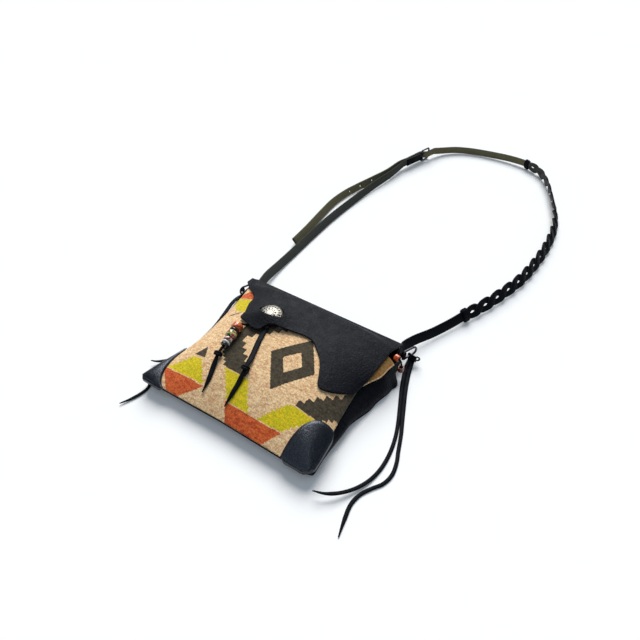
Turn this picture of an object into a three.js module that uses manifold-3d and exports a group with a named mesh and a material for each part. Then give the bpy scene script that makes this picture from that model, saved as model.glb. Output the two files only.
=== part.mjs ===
// Shoulder bag lying on its back: wool front, leather back, flap, gussets and a braided strap.
// Millimetres, +Z up. X runs across the bag, Y from its bottom seam to the fold of the flap.
import * as THREE from "three";
import { mergeVertices } from "three/addons/utils/BufferGeometryUtils.js";
import Module from "manifold-3d";

const wasm = await Module();
wasm.setup();

// Pouch
const BAG_WIDTH = 220;
const BAG_HEIGHT = 190;
const SEAM_HEIGHT = 16;
const MOUTH_EDGE_LEFT = 22;
const MOUTH_EDGE_RIGHT = 27;
const CROWN = 19;
const WAIST_HALF_LEFT = 93;
const WAIST_HALF_RIGHT = 100.5;
const BOTTOM_LIFT = 4;
const BOTTOM_LIFT_FADE = 120;
const WAIST_PLACE_LEFT = 0.5;
const WAIST_PLACE_RIGHT = 0.68;
const WAIST_CURVE_LEFT = 2;
const WAIST_CURVE_RIGHT = 1.2;
const BACK_FLARE_LEFT = 0.816;
const BACK_FLARE_RIGHT = 0.863;
const MOUTH_HALF_LEFT = 100;
const MOUTH_HALF_RIGHT = 117;
const MOUTH_DROP = 18;
const MOUTH_SAG = 15;
const SPINE_HEIGHT = 24;
const BOTTOM_ROLL = 25;
const SPINE_ROLL = 13;
const SPINE_HALF_LEFT = 96;
const SPINE_HALF_RIGHT = 107;
const GUSSET_BULGE = 5;
const GUSSET_TOP_HEIGHT = 19;

// Sheet thicknesses and the gaps between pieces that touch
const WOOL = 2.2;
const BACK_LEATHER = 2;
const GUSSET_LEATHER = 1.8;
const PATCH_LEATHER = 1.6;
const FLAP_LEATHER = 2;
const SEAM_GAP = 0.3;
const OVERLAY_GAP = 0.6;

// Corner patches
const PATCH_ALONG_SEAM = 34;
const PATCH_UP_SIDE = 57;
const PATCH_CURVE_LEFT = 3;
const PATCH_CURVE_RIGHT = 0.8;

// Flap
const FLAP_HALF_LEFT = 107.5;
const FLAP_REST_GAP = 1.2;
const FLAP_OVERHANG = 2;
const FLAP_TONGUE_LIFT = 6;
const FLAP_LIP_LIFT = 6.4;
const FLAP_TONGUE_SPREAD = 30;
const FLAP_TONGUE_FADE_UP = 28;
const FLAP_TONGUE_FADE_DOWN = 18;
const FLAP_TONGUE_PEAK_DROP = 8;
const FLAP_LIP_SPREAD = 18;
const FLAP_LIP_FADE = 13;

// Dome button and its slit in the flap
const BUTTON_X = -31.5;
const BUTTON_DROP = 58.5;
const BUTTON_RADIUS = 15;
const BUTTON_DOME = 4.2;
const BUTTON_RIM = 1;
const BUTTON_TILT_DEG = 6;
const BUTTON_STAND = 4.6;
const SHANK_RADIUS = 3.2;
const SHANK_EYE_RADIUS = 1.3;
const SLIT_CLEARANCE = 1.2;
const SLIT_LIP_BELOW_CENTRE = 4.5;

// Strap
const STRAP_WIDTH = 12;
const STRAP_THICKNESS = 2.4;
const STRAP_SIDE_GAP = 2;
const STRAP_ROOT_DEPTH = 30;
const STRAP_HOLE_RADIUS = 1.6;
const STRAP_HOLE_PITCH = 26;
const STRAP_HOLE_COUNT = 3;
const BRAID_PITCH = 24;
const BRAID_STRAND_WIDTH = 7;
const BRAID_STRAND_THICKNESS = 2.8;
const BRAID_SPREAD = 4.9;
const TIE_LENGTH = 9;
const TIE_THICKNESS = 1.4;
const TIE_SLACK = 0.9;

// Buckle
const BUCKLE_WIRE = 1.5;
const BUCKLE_REACH = 21;
const BUCKLE_SIDE_GAP = 2;
const BUCKLE_CORNER = 4;
const BUCKLE_X = -80.4;
const BUCKLE_Y = 550;
const BUCKLE_HEADING = new THREE.Vector2(0.26, 0.966).normalize();
const FOLD_BACK = 38;
const PRONG_RADIUS = 0.9;
const PRONG_CLEARANCE = 0.8;
const PRONG_LIFT_DEG = 8;
const BAR_CLEARANCE = 0.3;

// Side rings, their tabs and the laces
const RING_WIRE = 1.3;
const RING_LENGTH = 21;
const RING_HEIGHT = 15;
const RING_CENTRE_HEIGHT = 13.5;
const RING_NEAR_CORNER = 1.4;
const RING_FAR_CORNER = 5.8;
const RING_LEFT_HEADING_DEG = 246;
const RING_RIGHT_HEADING_DEG = 65;
const TAB_WIDTH = 9;
const TAB_THICKNESS = 1.6;
const TAB_LENGTH = 22;
const RING_BAR_DROP = 4;
const LACE_WIDTH = 3.6;
const LACE_THICKNESS = 2.2;
const KNOT_RADIUS = 2.4;
const KNOT_TUBE = 1.05;
const TAIL_KNOT_RADIUS = 3.7;
const TAIL_KNOT_TUBE = 1.15;
const TAIL_KNOT_FLATNESS = 0.78;

// Beads
const BEAD_BORE = 2.3;
const BEAD_GAP = 0.5;
const FIRST_BEAD_DROP = 32.5;
const BEADED_KNOT_DROP = 76;
const PLAIN_KNOT_DROP = 76.5;
const SMALL_BEAD_RADIUS = 4;
const SMALL_BEAD_LENGTH = 6;

// Colours
const BLACK_LEATHER = 0x1b1b20;
const OLIVE_LEATHER = 0x2b2c27;
const WOOL_TAN = 0xc9a676;
const SILVER = 0xc9c8c4;
const GUNMETAL = 0x4a4b50;

const BOTTOM_Y = -BAG_HEIGHT / 2;
const SPINE_Y = BAG_HEIGHT / 2 + 1;
const TOP_EDGE_Y = SPINE_Y - MOUTH_DROP;
const BUTTON_Y = SPINE_Y - BUTTON_DROP;
const RING_BAR_Y = SPINE_Y - RING_BAR_DROP;

// Sides are -1 for the left and 1 for the right.
const waistHalf = (side) => (side < 0 ? WAIST_HALF_LEFT : WAIST_HALF_RIGHT);
const mouthHalf = (side) => (side < 0 ? MOUTH_HALF_LEFT : MOUTH_HALF_RIGHT);

// Layers at each top corner, from the middle outwards: spine, strap, ring tab, gusset.
const spineHalf = (side) => (side < 0 ? SPINE_HALF_LEFT : SPINE_HALF_RIGHT);
const strapRoot = (side) => spineHalf(side) + STRAP_SIDE_GAP + STRAP_THICKNESS / 2;
const tabLeg = (side) => strapRoot(side) + STRAP_THICKNESS / 2 + SEAM_GAP + TAB_THICKNESS / 2;
const sideFlare = (side) => tabLeg(side) + TAB_THICKNESS / 2 + SEAM_GAP + GUSSET_LEATHER;

const bag = new THREE.Group();
bag.name = "shoulder_bag";

const clamp = THREE.MathUtils.clamp;
const lerp = THREE.MathUtils.lerp;
const rad = THREE.MathUtils.degToRad;
const ease = (t) => {
  const k = clamp(t, 0, 1);
  return k * k * (3 - 2 * k);
};

// Smooth value between knots given as [position, value] pairs.
function knotted(knots, at) {
  const last = knots.length - 1;
  if (at <= knots[0][0]) return knots[0][1];
  if (at >= knots[last][0]) return knots[last][1];
  const k = knots.findIndex((knot) => knot[0] > at);
  const [p, a] = knots[k - 1];
  const [q, b] = knots[k];
  return lerp(a, b, ease((at - p) / (q - p)));
}

function add(name, geometry, color, roughness, metalness) {
  const material = new THREE.MeshStandardMaterial({ color, roughness, metalness });
  const mesh = new THREE.Mesh(geometry, material);
  mesh.name = name;
  bag.add(mesh);
  return mesh;
}

const leather = (name, geometry) => add(name, geometry, BLACK_LEATHER, 0.5, 0);

// Closed surface from corner points and triangles, welded and turned to face outward.
function closed(points, triangles) {
  const geometry = new THREE.BufferGeometry().setFromPoints(points);
  geometry.setIndex(triangles);
  const welded = mergeVertices(geometry, 1e-3);
  const index = welded.index.array;
  const position = welded.getAttribute("position");
  const a = new THREE.Vector3();
  const b = new THREE.Vector3();
  const c = new THREE.Vector3();
  const kept = [];
  let volume = 0;
  for (let i = 0; i < index.length; i += 3) {
    const [p, q, r] = [index[i], index[i + 1], index[i + 2]];
    if (p === q || q === r || r === p) continue;
    kept.push(p, q, r);
    a.fromBufferAttribute(position, p);
    b.fromBufferAttribute(position, q);
    c.fromBufferAttribute(position, r);
    volume += a.dot(b.cross(c));
  }
  if (volume < 0) {
    for (let i = 0; i < kept.length; i += 3) {
      [kept[i + 1], kept[i + 2]] = [kept[i + 2], kept[i + 1]];
    }
  }
  welded.setIndex(kept);
  welded.computeVertexNormals();
  return welded;
}

// Solid between two grids of points with the same rows and columns.
function slab(upper, lower) {
  const rows = upper.length;
  const cols = upper[0].length;
  const points = [...upper.flat(), ...lower.flat()];
  const under = rows * cols;
  const triangles = [];
  const quad = (p, q, r, s) => triangles.push(p, q, r, p, r, s);
  for (let j = 0; j < rows - 1; j += 1) {
    for (let i = 0; i < cols - 1; i += 1) {
      const p = j * cols + i;
      quad(p, p + 1, p + cols + 1, p + cols);
      quad(under + p, under + p + cols, under + p + cols + 1, under + p + 1);
    }
  }
  const rim = [];
  for (let i = 0; i < cols - 1; i += 1) rim.push(i);
  for (let j = 0; j < rows - 1; j += 1) rim.push(j * cols + cols - 1);
  for (let i = cols - 1; i > 0; i -= 1) rim.push((rows - 1) * cols + i);
  for (let j = rows - 1; j > 0; j -= 1) rim.push(j * cols);
  rim.forEach((p, k) => {
    const q = rim[(k + 1) % rim.length];
    quad(q, p, under + p, under + q);
  });
  return closed(points, triangles);
}

// Sheet of even thickness: surface(u, v) is offset along its normal to both given depths.
function sheet(surface, us, vs, from, to) {
  const step = 1e-3;
  const grid = (depth) =>
    vs.map((v) =>
      us.map((u) => {
        const across = surface(u + step, v).sub(surface(u - step, v));
        const along = surface(u, v + step).sub(surface(u, v - step));
        const normal = across.cross(along).normalize();
        return surface(u, v).addScaledVector(normal, depth);
      }),
    );
  return slab(grid(to), grid(from));
}

const evenly = (from, to, count) => Array.from({ length: count + 1 }, (_, k) => lerp(from, to, k / count));
const edgeDense = (count) => evenly(-Math.PI / 2, Math.PI / 2, count).map(Math.sin);

function solid(geometry) {
  const bare = geometry.clone();
  bare.deleteAttribute("normal");
  bare.deleteAttribute("uv");
  const welded = mergeVertices(bare, 1e-3);
  const vertProperties = new Float32Array(welded.getAttribute("position").array);
  const triVerts = new Uint32Array(welded.index.array);
  return new wasm.Manifold(new wasm.Mesh({ numProp: 3, vertProperties, triVerts }));
}

function fromSolid(manifold) {
  const mesh = manifold.getMesh();
  const geometry = new THREE.BufferGeometry();
  geometry.setAttribute("position", new THREE.BufferAttribute(new Float32Array(mesh.vertProperties), 3));
  geometry.setIndex(new THREE.BufferAttribute(new Uint32Array(mesh.triVerts), 1));
  geometry.computeVertexNormals();
  return geometry;
}

const joined = (parts) => fromSolid(parts.map(solid).reduce((sum, part) => sum.add(part)));
const cut = (body, tools) => fromSolid(tools.map(solid).reduce((rest, tool) => rest.subtract(tool), solid(body)));

// Front of the pouch: u runs from the left seam to the right one, v from the bottom seam to the mouth.
function frontHalfWidth(v, side) {
  const waist = waistHalf(side);
  const place = side < 0 ? WAIST_PLACE_LEFT : WAIST_PLACE_RIGHT;
  const curve = side < 0 ? WAIST_CURVE_LEFT : WAIST_CURVE_RIGHT;
  if (v < place) return waist + (BAG_WIDTH / 2 - waist) * (1 - v / place) ** curve;
  return waist + (mouthHalf(side) - waist) * ((v - place) / (1 - place)) ** curve;
}

const topEdgeY = (u) => TOP_EDGE_Y - MOUTH_SAG * Math.max(0, u) ** 4;

function frontRise(u, v) {
  const mouthEdge = lerp(MOUTH_EDGE_RIGHT, MOUTH_EDGE_LEFT, Math.max(0, -u) ** 3);
  const edge = lerp(SEAM_HEIGHT, mouthEdge, v);
  const rise = 1 - (1 - clamp(v / 0.45, 0, 1)) ** 2.2;
  const fall = 1 - 0.45 * ease((v - 0.5) / 0.5);
  const across = Math.max(0, 1 - Math.abs(u) ** 3) ** 0.8;
  return edge + CROWN * rise * fall * across;
}

// The bottom seam runs a little higher from the middle to the right corner than at the left one.
function settled(y, u) {
  const share = 1 - clamp((y - BOTTOM_Y) / BOTTOM_LIFT_FADE, 0, 1);
  return y + BOTTOM_LIFT * clamp(1 + u, 0, 1) * share * share;
}

function frontPoint(u, v) {
  const x = u * frontHalfWidth(v, Math.sign(u));
  const y = BOTTOM_Y + v * (topEdgeY(u) - BOTTOM_Y);
  return new THREE.Vector3(x, settled(y, u), frontRise(u, v));
}

// Height of the front over a point of the plan.
function frontHeight(x, y) {
  let u = x / waistHalf(Math.sign(x));
  let v = 0.5;
  let flatY = y;
  for (let k = 0; k < 12; k += 1) {
    flatY += y - settled(flatY, u);
    v = clamp((flatY - BOTTOM_Y) / (topEdgeY(clamp(u, -1, 1)) - BOTTOM_Y), 0, 1);
    u = clamp(x / frontHalfWidth(v, Math.sign(x)), -1, 1);
  }
  return frontRise(u, v);
}

const frontRows = evenly(0, 1, 11).map((t) => t ** 1.4);
add("front_panel", sheet(frontPoint, edgeDense(16), frontRows, -WOOL, 0), WOOL_TAN, 0.95, 0);

// Corner patches over the bottom corners of the front: the left one cut hollow, the right one round.
function patchPoint(side) {
  const seamShare = PATCH_ALONG_SEAM / (BAG_WIDTH / 2);
  const sideShare = PATCH_UP_SIDE / (TOP_EDGE_Y - BOTTOM_Y);
  const curve = side < 0 ? PATCH_CURVE_LEFT : PATCH_CURVE_RIGHT;
  return (turn, reach) => {
    const angle = (clamp(turn, 0, 1) * Math.PI) / 2;
    const u = side * (1 - reach * seamShare * Math.cos(angle) ** curve);
    const v = reach * sideShare * Math.sin(angle) ** curve;
    return new THREE.Vector3(u, v, 0);
  };
}

function patch(side) {
  const place = patchPoint(side);
  const outward = (u, v) => {
    const step = 2e-3;
    const uu = clamp(u, -1 + step, 1 - step);
    const vv = Math.max(v, step);
    const across = frontPoint(uu + step, vv).sub(frontPoint(uu - step, vv));
    const along = frontPoint(uu, vv + step).sub(frontPoint(uu, vv - step));
    return across.cross(along).normalize();
  };
  const grid = (depth) =>
    evenly(0, 1, 6).map((reach) =>
      evenly(0, 1, 7).map((turn) => {
        const at = place(turn, reach);
        return frontPoint(at.x, at.y).addScaledVector(outward(at.x, at.y), depth);
      }),
    );
  return slab(grid(OVERLAY_GAP + PATCH_LEATHER), grid(OVERLAY_GAP));
}

leather("corner_patch_left", patch(-1));
leather("corner_patch_right", patch(1));

// Back: one hide that rolls up to the bottom seam, lies flat and turns up into the top wall.
const backProfile = new THREE.Path();
backProfile.absellipse(
  BOTTOM_Y + BOTTOM_ROLL,
  SEAM_HEIGHT - SEAM_GAP - WOOL,
  BOTTOM_ROLL,
  SEAM_HEIGHT - SEAM_GAP - WOOL,
  Math.PI,
  1.5 * Math.PI,
);
backProfile.lineTo(SPINE_Y - SPINE_ROLL, 0);
backProfile.absarc(SPINE_Y - SPINE_ROLL, SPINE_ROLL, SPINE_ROLL, -Math.PI / 2, 0);
backProfile.lineTo(SPINE_Y, SPINE_HEIGHT);

// Sides of the back: share of the bag's height, and how far past the waist of the front.
const BACK_LEFT = [[0.17, 1.5], [0.395, 3], [0.605, 3.5]];
const BACK_RIGHT = [[0.17, 6.8], [0.395, 7.8], [0.605, 17], [0.763, 22.5]];

function backHalfWidth(y, side) {
  const outline = side < 0 ? BACK_LEFT : BACK_RIGHT;
  const flare = side < 0 ? BACK_FLARE_LEFT : BACK_FLARE_RIGHT;
  const knots = [
    [BOTTOM_Y, BAG_WIDTH / 2],
    ...outline.map(([up, out]) => [BOTTOM_Y + up * BAG_HEIGHT, waistHalf(side) + out]),
    [BOTTOM_Y + flare * BAG_HEIGHT, sideFlare(side)],
    [SPINE_Y - SPINE_ROLL + 2, sideFlare(side)],
    [SPINE_Y - SPINE_ROLL / 3, spineHalf(side)],
  ];
  return knotted(knots, y);
}

function backHeight(y) {
  const centre = SEAM_HEIGHT - SEAM_GAP - WOOL;
  const low = (y - BOTTOM_Y - BOTTOM_ROLL) / BOTTOM_ROLL;
  const high = (y - SPINE_Y + SPINE_ROLL) / SPINE_ROLL;
  if (low < 0) return centre * (1 - Math.sqrt(Math.max(0, 1 - low * low)));
  if (high > 0) return SPINE_ROLL * (1 - Math.sqrt(Math.max(0, 1 - high * high)));
  return 0;
}

function backPanel() {
  const profile = backProfile.getPoints(6);
  const stations = [];
  profile.forEach((point, k) => {
    if (k > 0 && point.distanceTo(profile[k - 1]) > 40) {
      evenly(0, 1, 8)
        .slice(1, -1)
        .forEach((t) => stations.push(profile[k - 1].clone().lerp(point, t)));
    }
    if (k === 0 || point.distanceTo(profile[k - 1]) > 1e-3) stations.push(point);
  });
  const last = stations.length - 1;
  const grid = (depth) =>
    stations.map((point, k) => {
      const before = stations[Math.max(0, k - 1)];
      const after = stations[Math.min(last, k + 1)];
      const along = after.clone().sub(before).normalize();
      const y = point.x - along.y * depth;
      const z = point.y + along.x * depth;
      const rise = (side) => settled(point.x, side) - point.x;
      return [-1, 0, 1].map(
        (side) => new THREE.Vector3(side * backHalfWidth(point.x, side), y + rise(side), z),
      );
    });
  return slab(grid(BACK_LEATHER), grid(0));
}

leather("back_panel", backPanel());

// Side gussets: leather walls that widen from the bottom corner up to the mouth.
function gusset(side) {
  const mouthY = topEdgeY(side);
  const endY = SPINE_Y - SPINE_ROLL + 1;
  const startY = BOTTOM_Y + 10;
  const tabY = RING_BAR_Y - TAB_LENGTH;
  const frontEdge = (y) => {
    const v = clamp((y - BOTTOM_Y) / (mouthY - BOTTOM_Y), 0, 1);
    const past = ease((y - mouthY) / (endY - mouthY));
    const x = lerp(frontHalfWidth(v, side) - 1, sideFlare(side), ease((y - tabY + 26) / 22));
    const z = frontRise(side, v) - WOOL - SEAM_GAP - 0.5;
    return new THREE.Vector3(side * x, y, lerp(z, GUSSET_TOP_HEIGHT, past));
  };
  const backEdge = (y) => {
    const z = backHeight(y) + BACK_LEATHER + SEAM_GAP + 0.5;
    return new THREE.Vector3(side * backHalfWidth(y, side), y, z);
  };
  const wall = (s, y) => {
    const low = backEdge(y);
    const high = frontEdge(y);
    const swell = GUSSET_BULGE * ease((y - startY) / 60) * (1 - ease((y - tabY + 40) / 34));
    const point = low.lerp(high, s);
    point.x += side * swell * Math.sin(Math.PI * s);
    point.y = settled(y, side);
    return point;
  };
  const depth = side > 0 ? [0, GUSSET_LEATHER] : [-GUSSET_LEATHER, 0];
  return sheet(wall, evenly(0, 1, 3), evenly(startY, endY, 11), depth[0], depth[1]);
}

leather("gusset_left", gusset(-1));
leather("gusset_right", gusset(1));

// Flap: cut edge as [x, drop below the fold], from the left end, round the tongue and the right lobe.
const FLAP_EDGE = [
  [-FLAP_HALF_LEFT, 10],
  [-94.5, 21],
  [-85, 27],
  [-75.6, 35],
  [-68, 44],
  [-66, 56],
  [-62, 67],
  [-58.6, 78],
  [-51, 81],
  [-43, 84.6],
  [-37, 85.8],
  [-31, 86.1],
  [-27.4, 84.4],
  [-24.6, 78],
  [-18, 72],
  [-8, 69],
  [6, 65],
  [20, 62.4],
  [31, 64.2],
  [41, 72],
  [49.4, 79.4],
  [56, 88.4],
  [61.6, 98.6],
  [67, 109],
  [71, 111.6],
  [78, 110],
  [86, 105.6],
  [93.5, 99],
  [99, 92],
  [101.6, 83],
  [104, 69],
  [105.4, 53],
  [106.2, 39],
  [107, 25],
  [108, 13],
];

// Line of the plan where the flap leaves the front panel and falls to the fold.
const flapBreak = (x) => topEdgeY(clamp(x / mouthHalf(Math.sign(x)), -1, 1)) + FLAP_OVERHANG;

function flapRise(x, y) {
  const rest = frontHeight(x, y) + FLAP_REST_GAP;
  const dx = (x - BUTTON_X) / FLAP_TONGUE_SPREAD;
  const above = y - BUTTON_Y + FLAP_TONGUE_PEAK_DROP;
  const dy = above / (above > 0 ? FLAP_TONGUE_FADE_UP : FLAP_TONGUE_FADE_DOWN);
  const tongue = FLAP_TONGUE_LIFT * Math.exp(-dx * dx - dy * dy);
  const lx = (x - BUTTON_X) / FLAP_LIP_SPREAD;
  const ly = (y - BUTTON_Y) / FLAP_LIP_FADE;
  const lip = FLAP_LIP_LIFT * Math.exp(-lx * lx - ly * ly);
  const fold = SPINE_HEIGHT + SEAM_GAP;
  const breakY = flapBreak(x);
  return lerp(rest + tongue + lip, fold, ease((y - breakY) / (SPINE_Y - breakY)));
}

function flapSheet() {
  const edge = FLAP_EDGE.map(([x, drop]) => new THREE.Vector2(x, SPINE_Y - drop));
  edge.push(new THREE.Vector2(108.6, SPINE_Y - 3));
  const columns = edge.map((p) => {
    const middle = Math.max(p.y, flapBreak(p.x));
    const lower = evenly(p.y, middle, 4);
    const upper = evenly(middle, SPINE_Y + SEAM_GAP, 3).slice(1);
    return [...lower, ...upper].map((y) => [p.x, y]);
  });
  const grid = (depth) =>
    columns[0].map((_, row) =>
      columns.map((column) => {
        const [x, y] = column[row];
        return new THREE.Vector3(x, y, flapRise(x, y) + depth);
      }),
    );
  return slab(grid(FLAP_LEATHER), grid(0));
}

function slitCutter() {
  const radius = BUTTON_RADIUS + SLIT_CLEARANCE;
  const low = Math.asin(SLIT_LIP_BELOW_CENTRE / radius);
  const moon = new THREE.Shape();
  moon.absarc(BUTTON_X, BUTTON_Y, radius, -low, Math.PI + low, false);
  const tool = new THREE.ExtrudeGeometry(moon, { depth: 60, bevelEnabled: false, curveSegments: 20 });
  return tool.translate(0, 0, SPINE_HEIGHT);
}

leather("flap", cut(flapSheet(), [slitCutter()]));

// Dome button on a drilled shank, tipped so that its lower rim slides under the lip of the slit.
function button() {
  const domeRadius = (BUTTON_RADIUS ** 2 + BUTTON_DOME ** 2) / (2 * BUTTON_DOME);
  const profile = [new THREE.Vector2(0, -BUTTON_STAND)];
  profile.push(new THREE.Vector2(SHANK_RADIUS, -BUTTON_STAND));
  profile.push(new THREE.Vector2(SHANK_RADIUS, 0));
  profile.push(new THREE.Vector2(BUTTON_RADIUS, 0));
  evenly(BUTTON_RADIUS, 0, 5).forEach((r) => {
    const h = Math.sqrt(domeRadius ** 2 - r * r) - (domeRadius - BUTTON_DOME);
    profile.push(new THREE.Vector2(r, BUTTON_RIM + h));
  });
  const body = new THREE.LatheGeometry(profile, 22).rotateX(Math.PI / 2);
  const eye = new THREE.CylinderGeometry(SHANK_EYE_RADIUS, SHANK_EYE_RADIUS, 4 * SHANK_RADIUS, 8);
  eye.rotateZ(Math.PI / 2).translate(0, 0, -BUTTON_STAND / 2);
  return cut(body, [eye]).rotateX(rad(BUTTON_TILT_DEG));
}

const buttonSeat = frontHeight(BUTTON_X, BUTTON_Y) + SEAM_GAP + SHANK_RADIUS * Math.sin(rad(BUTTON_TILT_DEG));
const concho = add("concho", button(), SILVER, 0.3, 1);
concho.position.set(BUTTON_X, BUTTON_Y, buttonSeat + BUTTON_STAND * Math.cos(rad(BUTTON_TILT_DEG)));

// Strap stations: a point and the lean of the strap's upper edge towards the left of its heading.
function alongRoute(points, steps) {
  const curve = new THREE.CatmullRomCurve3(points.map((p) => new THREE.Vector3(p[0], p[1], p[2])));
  return evenly(0, 1, steps).map((t) => {
    const place = t * (points.length - 1);
    const k = Math.min(Math.floor(place), points.length - 2);
    const lean = lerp(points[k][3], points[k + 1][3], place - k);
    return { point: curve.getPoint(t), lean };
  });
}

function framesOf(stations) {
  const last = stations.length - 1;
  return stations.map(({ point, lean }, k) => {
    const before = stations[Math.max(0, k - 1)].point;
    const after = stations[Math.min(last, k + 1)].point;
    const along = after.clone().sub(before).normalize();
    const left = new THREE.Vector3(-along.y, along.x, 0).normalize();
    const up = along.clone().cross(left);
    const wide = up.clone().multiplyScalar(Math.cos(rad(lean))).addScaledVector(left, Math.sin(rad(lean)));
    const thick = left.clone().multiplyScalar(Math.cos(rad(lean))).addScaledVector(up, -Math.sin(rad(lean)));
    return { point, along, wide, thick };
  });
}

// Flat band with a rectangular section; offsets shift it within its own frame and stretch its width.
function band(frames, width, thickness, offset = () => [0, 0, 1]) {
  const corners = [
    [-0.5, -0.5],
    [0.5, -0.5],
    [0.5, 0.5],
    [-0.5, 0.5],
  ];
  const points = [];
  frames.forEach((frame, k) => {
    const [a, b, stretch] = offset(k);
    corners.forEach(([w, t]) => {
      const point = frame.point.clone().addScaledVector(frame.wide, a + w * width * stretch);
      points.push(point.addScaledVector(frame.thick, b + t * thickness));
    });
  });
  const triangles = [0, 1, 2, 0, 2, 3];
  for (let k = 0; k < frames.length - 1; k += 1) {
    for (let c = 0; c < 4; c += 1) {
      const p = 4 * k + c;
      const q = 4 * k + ((c + 1) % 4);
      triangles.push(p, p + 4, q + 4, p, q + 4, q);
    }
  }
  const end = 4 * (frames.length - 1);
  triangles.push(end, end + 2, end + 1, end, end + 3, end + 2);
  return closed(points, triangles);
}

const strapBand = (stations) => band(framesOf(stations), STRAP_WIDTH, STRAP_THICKNESS);

// Height of the strap's middle when it rests on its lower edge at a given lean, with a lift above that.
function onEdge([x, y, lift, lean]) {
  const half = (STRAP_WIDTH * Math.cos(rad(lean)) + STRAP_THICKNESS * Math.abs(Math.sin(rad(lean)))) / 2;
  return [x, y, half + lift, lean];
}

// Points beside the buckle: t runs along the strap from the heel bar, n to the outside of the loop.
const BUCKLE_HEIGHT = STRAP_WIDTH / 2 + BUCKLE_SIDE_GAP + 2 * BUCKLE_WIRE + SEAM_GAP;
function atBuckle(t, n, z = BUCKLE_HEIGHT) {
  const x = BUCKLE_X + BUCKLE_HEADING.x * t - BUCKLE_HEADING.y * n;
  const y = BUCKLE_Y + BUCKLE_HEADING.y * t + BUCKLE_HEADING.x * n;
  return new THREE.Vector3(x, y, z);
}
const station = (t, n) => ({ point: atBuckle(t, n), lean: 0 });

// Buckle strap: from the left corner of the bag to the buckle, turned round the heel bar and back on itself.
const PLY = (STRAP_THICKNESS + SEAM_GAP) / 2;
const TURN = BUCKLE_WIRE + BAR_CLEARANCE + STRAP_THICKNESS / 2;
const LEFT_ROUTE = [
  [-strapRoot(-1), SPINE_Y - STRAP_ROOT_DEPTH, 7, 0],
  [-strapRoot(-1) - 0.6, SPINE_Y + 6, 6.5, 2],
  [-104.6, 126, 4, 18],
  [-108, 154, 1.2, 32],
  [-110.5, 196, 0.3, 36],
  [-112.2, 245, 0.3, 36],
  [-112.7, 300, 0.3, 36],
  [-110, 357, 0.3, 34],
  [-104.5, 415, 0.4, 28],
  [-97, 466, 1, 16],
].map(onEdge);
const leftEnd = atBuckle(-FOLD_BACK - 8, PLY);
LEFT_ROUTE.push([leftEnd.x, leftEnd.y, leftEnd.z, 2]);
const turn = evenly(90, -90, 10).map((deg) => station(TURN * Math.cos(rad(deg)), TURN * Math.sin(rad(deg))));
const buckleStations = [
  ...alongRoute(LEFT_ROUTE, 30),
  station(-FOLD_BACK + 10, PLY),
  station(-12, PLY + 0.1),
  station(-6, PLY + 0.7),
  ...turn,
  station(-6, -PLY - 0.7),
  station(-12, -PLY - 0.1),
  station(-FOLD_BACK, -PLY),
];
const prongSlot = new THREE.BoxGeometry(11, 11, 2 * PRONG_RADIUS + 2 * BAR_CLEARANCE + 0.6);
prongSlot.rotateZ(BUCKLE_HEADING.angle()).translate(...atBuckle(0.2, 0).toArray());
leather("buckle_strap", cut(strapBand(buckleStations), [prongSlot]));

// Buckle frame: rounded loop of wire that stands across the strap.
function wireLoop(points, normal, radius, sides) {
  const count = points.length;
  const ring = [];
  points.forEach((point, k) => {
    const along = points[(k + 1) % count].clone().sub(points[(k + count - 1) % count]).normalize();
    const out = along.clone().cross(normal);
    for (let s = 0; s < sides; s += 1) {
      const angle = (2 * Math.PI * s) / sides;
      const at = point.clone().addScaledVector(out, radius * Math.cos(angle));
      ring.push(at.addScaledVector(normal, radius * Math.sin(angle)));
    }
  });
  const triangles = [];
  for (let k = 0; k < count; k += 1) {
    for (let s = 0; s < sides; s += 1) {
      const p = k * sides + s;
      const q = k * sides + ((s + 1) % sides);
      const r = ((k + 1) % count) * sides + s;
      const w = ((k + 1) % count) * sides + ((s + 1) % sides);
      triangles.push(p, q, w, p, w, r);
    }
  }
  return closed(ring, triangles);
}

// Loop with a straight near side and its own corner radius at each end, as points.
function roundedLoop(length, height, near, far, place) {
  const loop = new THREE.Path();
  const top = height / 2;
  loop.moveTo(0, near - top);
  loop.lineTo(0, top - near);
  loop.absarc(near, top - near, near, Math.PI, Math.PI / 2, true);
  loop.lineTo(length - far, top);
  loop.absarc(length - far, top - far, far, Math.PI / 2, 0, true);
  loop.lineTo(length, far - top);
  loop.absarc(length - far, far - top, far, 0, -Math.PI / 2, true);
  loop.lineTo(near, -top);
  loop.absarc(near, near - top, near, -Math.PI / 2, -Math.PI, true);
  const points = loop.getPoints(2);
  points.pop();
  const kept = points.filter((p, k) => k === 0 || p.distanceTo(points[k - 1]) > 1e-3);
  return kept.map(place);
}

const frameHeight = STRAP_WIDTH + 2 * BUCKLE_SIDE_GAP + 2 * BUCKLE_WIRE;
const framePoints = roundedLoop(BUCKLE_REACH, frameHeight, BUCKLE_CORNER, BUCKLE_CORNER, (p) =>
  atBuckle(p.x, 0, BUCKLE_HEIGHT + p.y),
);
const buckleNormal = new THREE.Vector3(-BUCKLE_HEADING.y, BUCKLE_HEADING.x, 0);
add("buckle_frame", wireLoop(framePoints, buckleNormal, BUCKLE_WIRE, 6), GUNMETAL, 0.35, 1);

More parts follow.
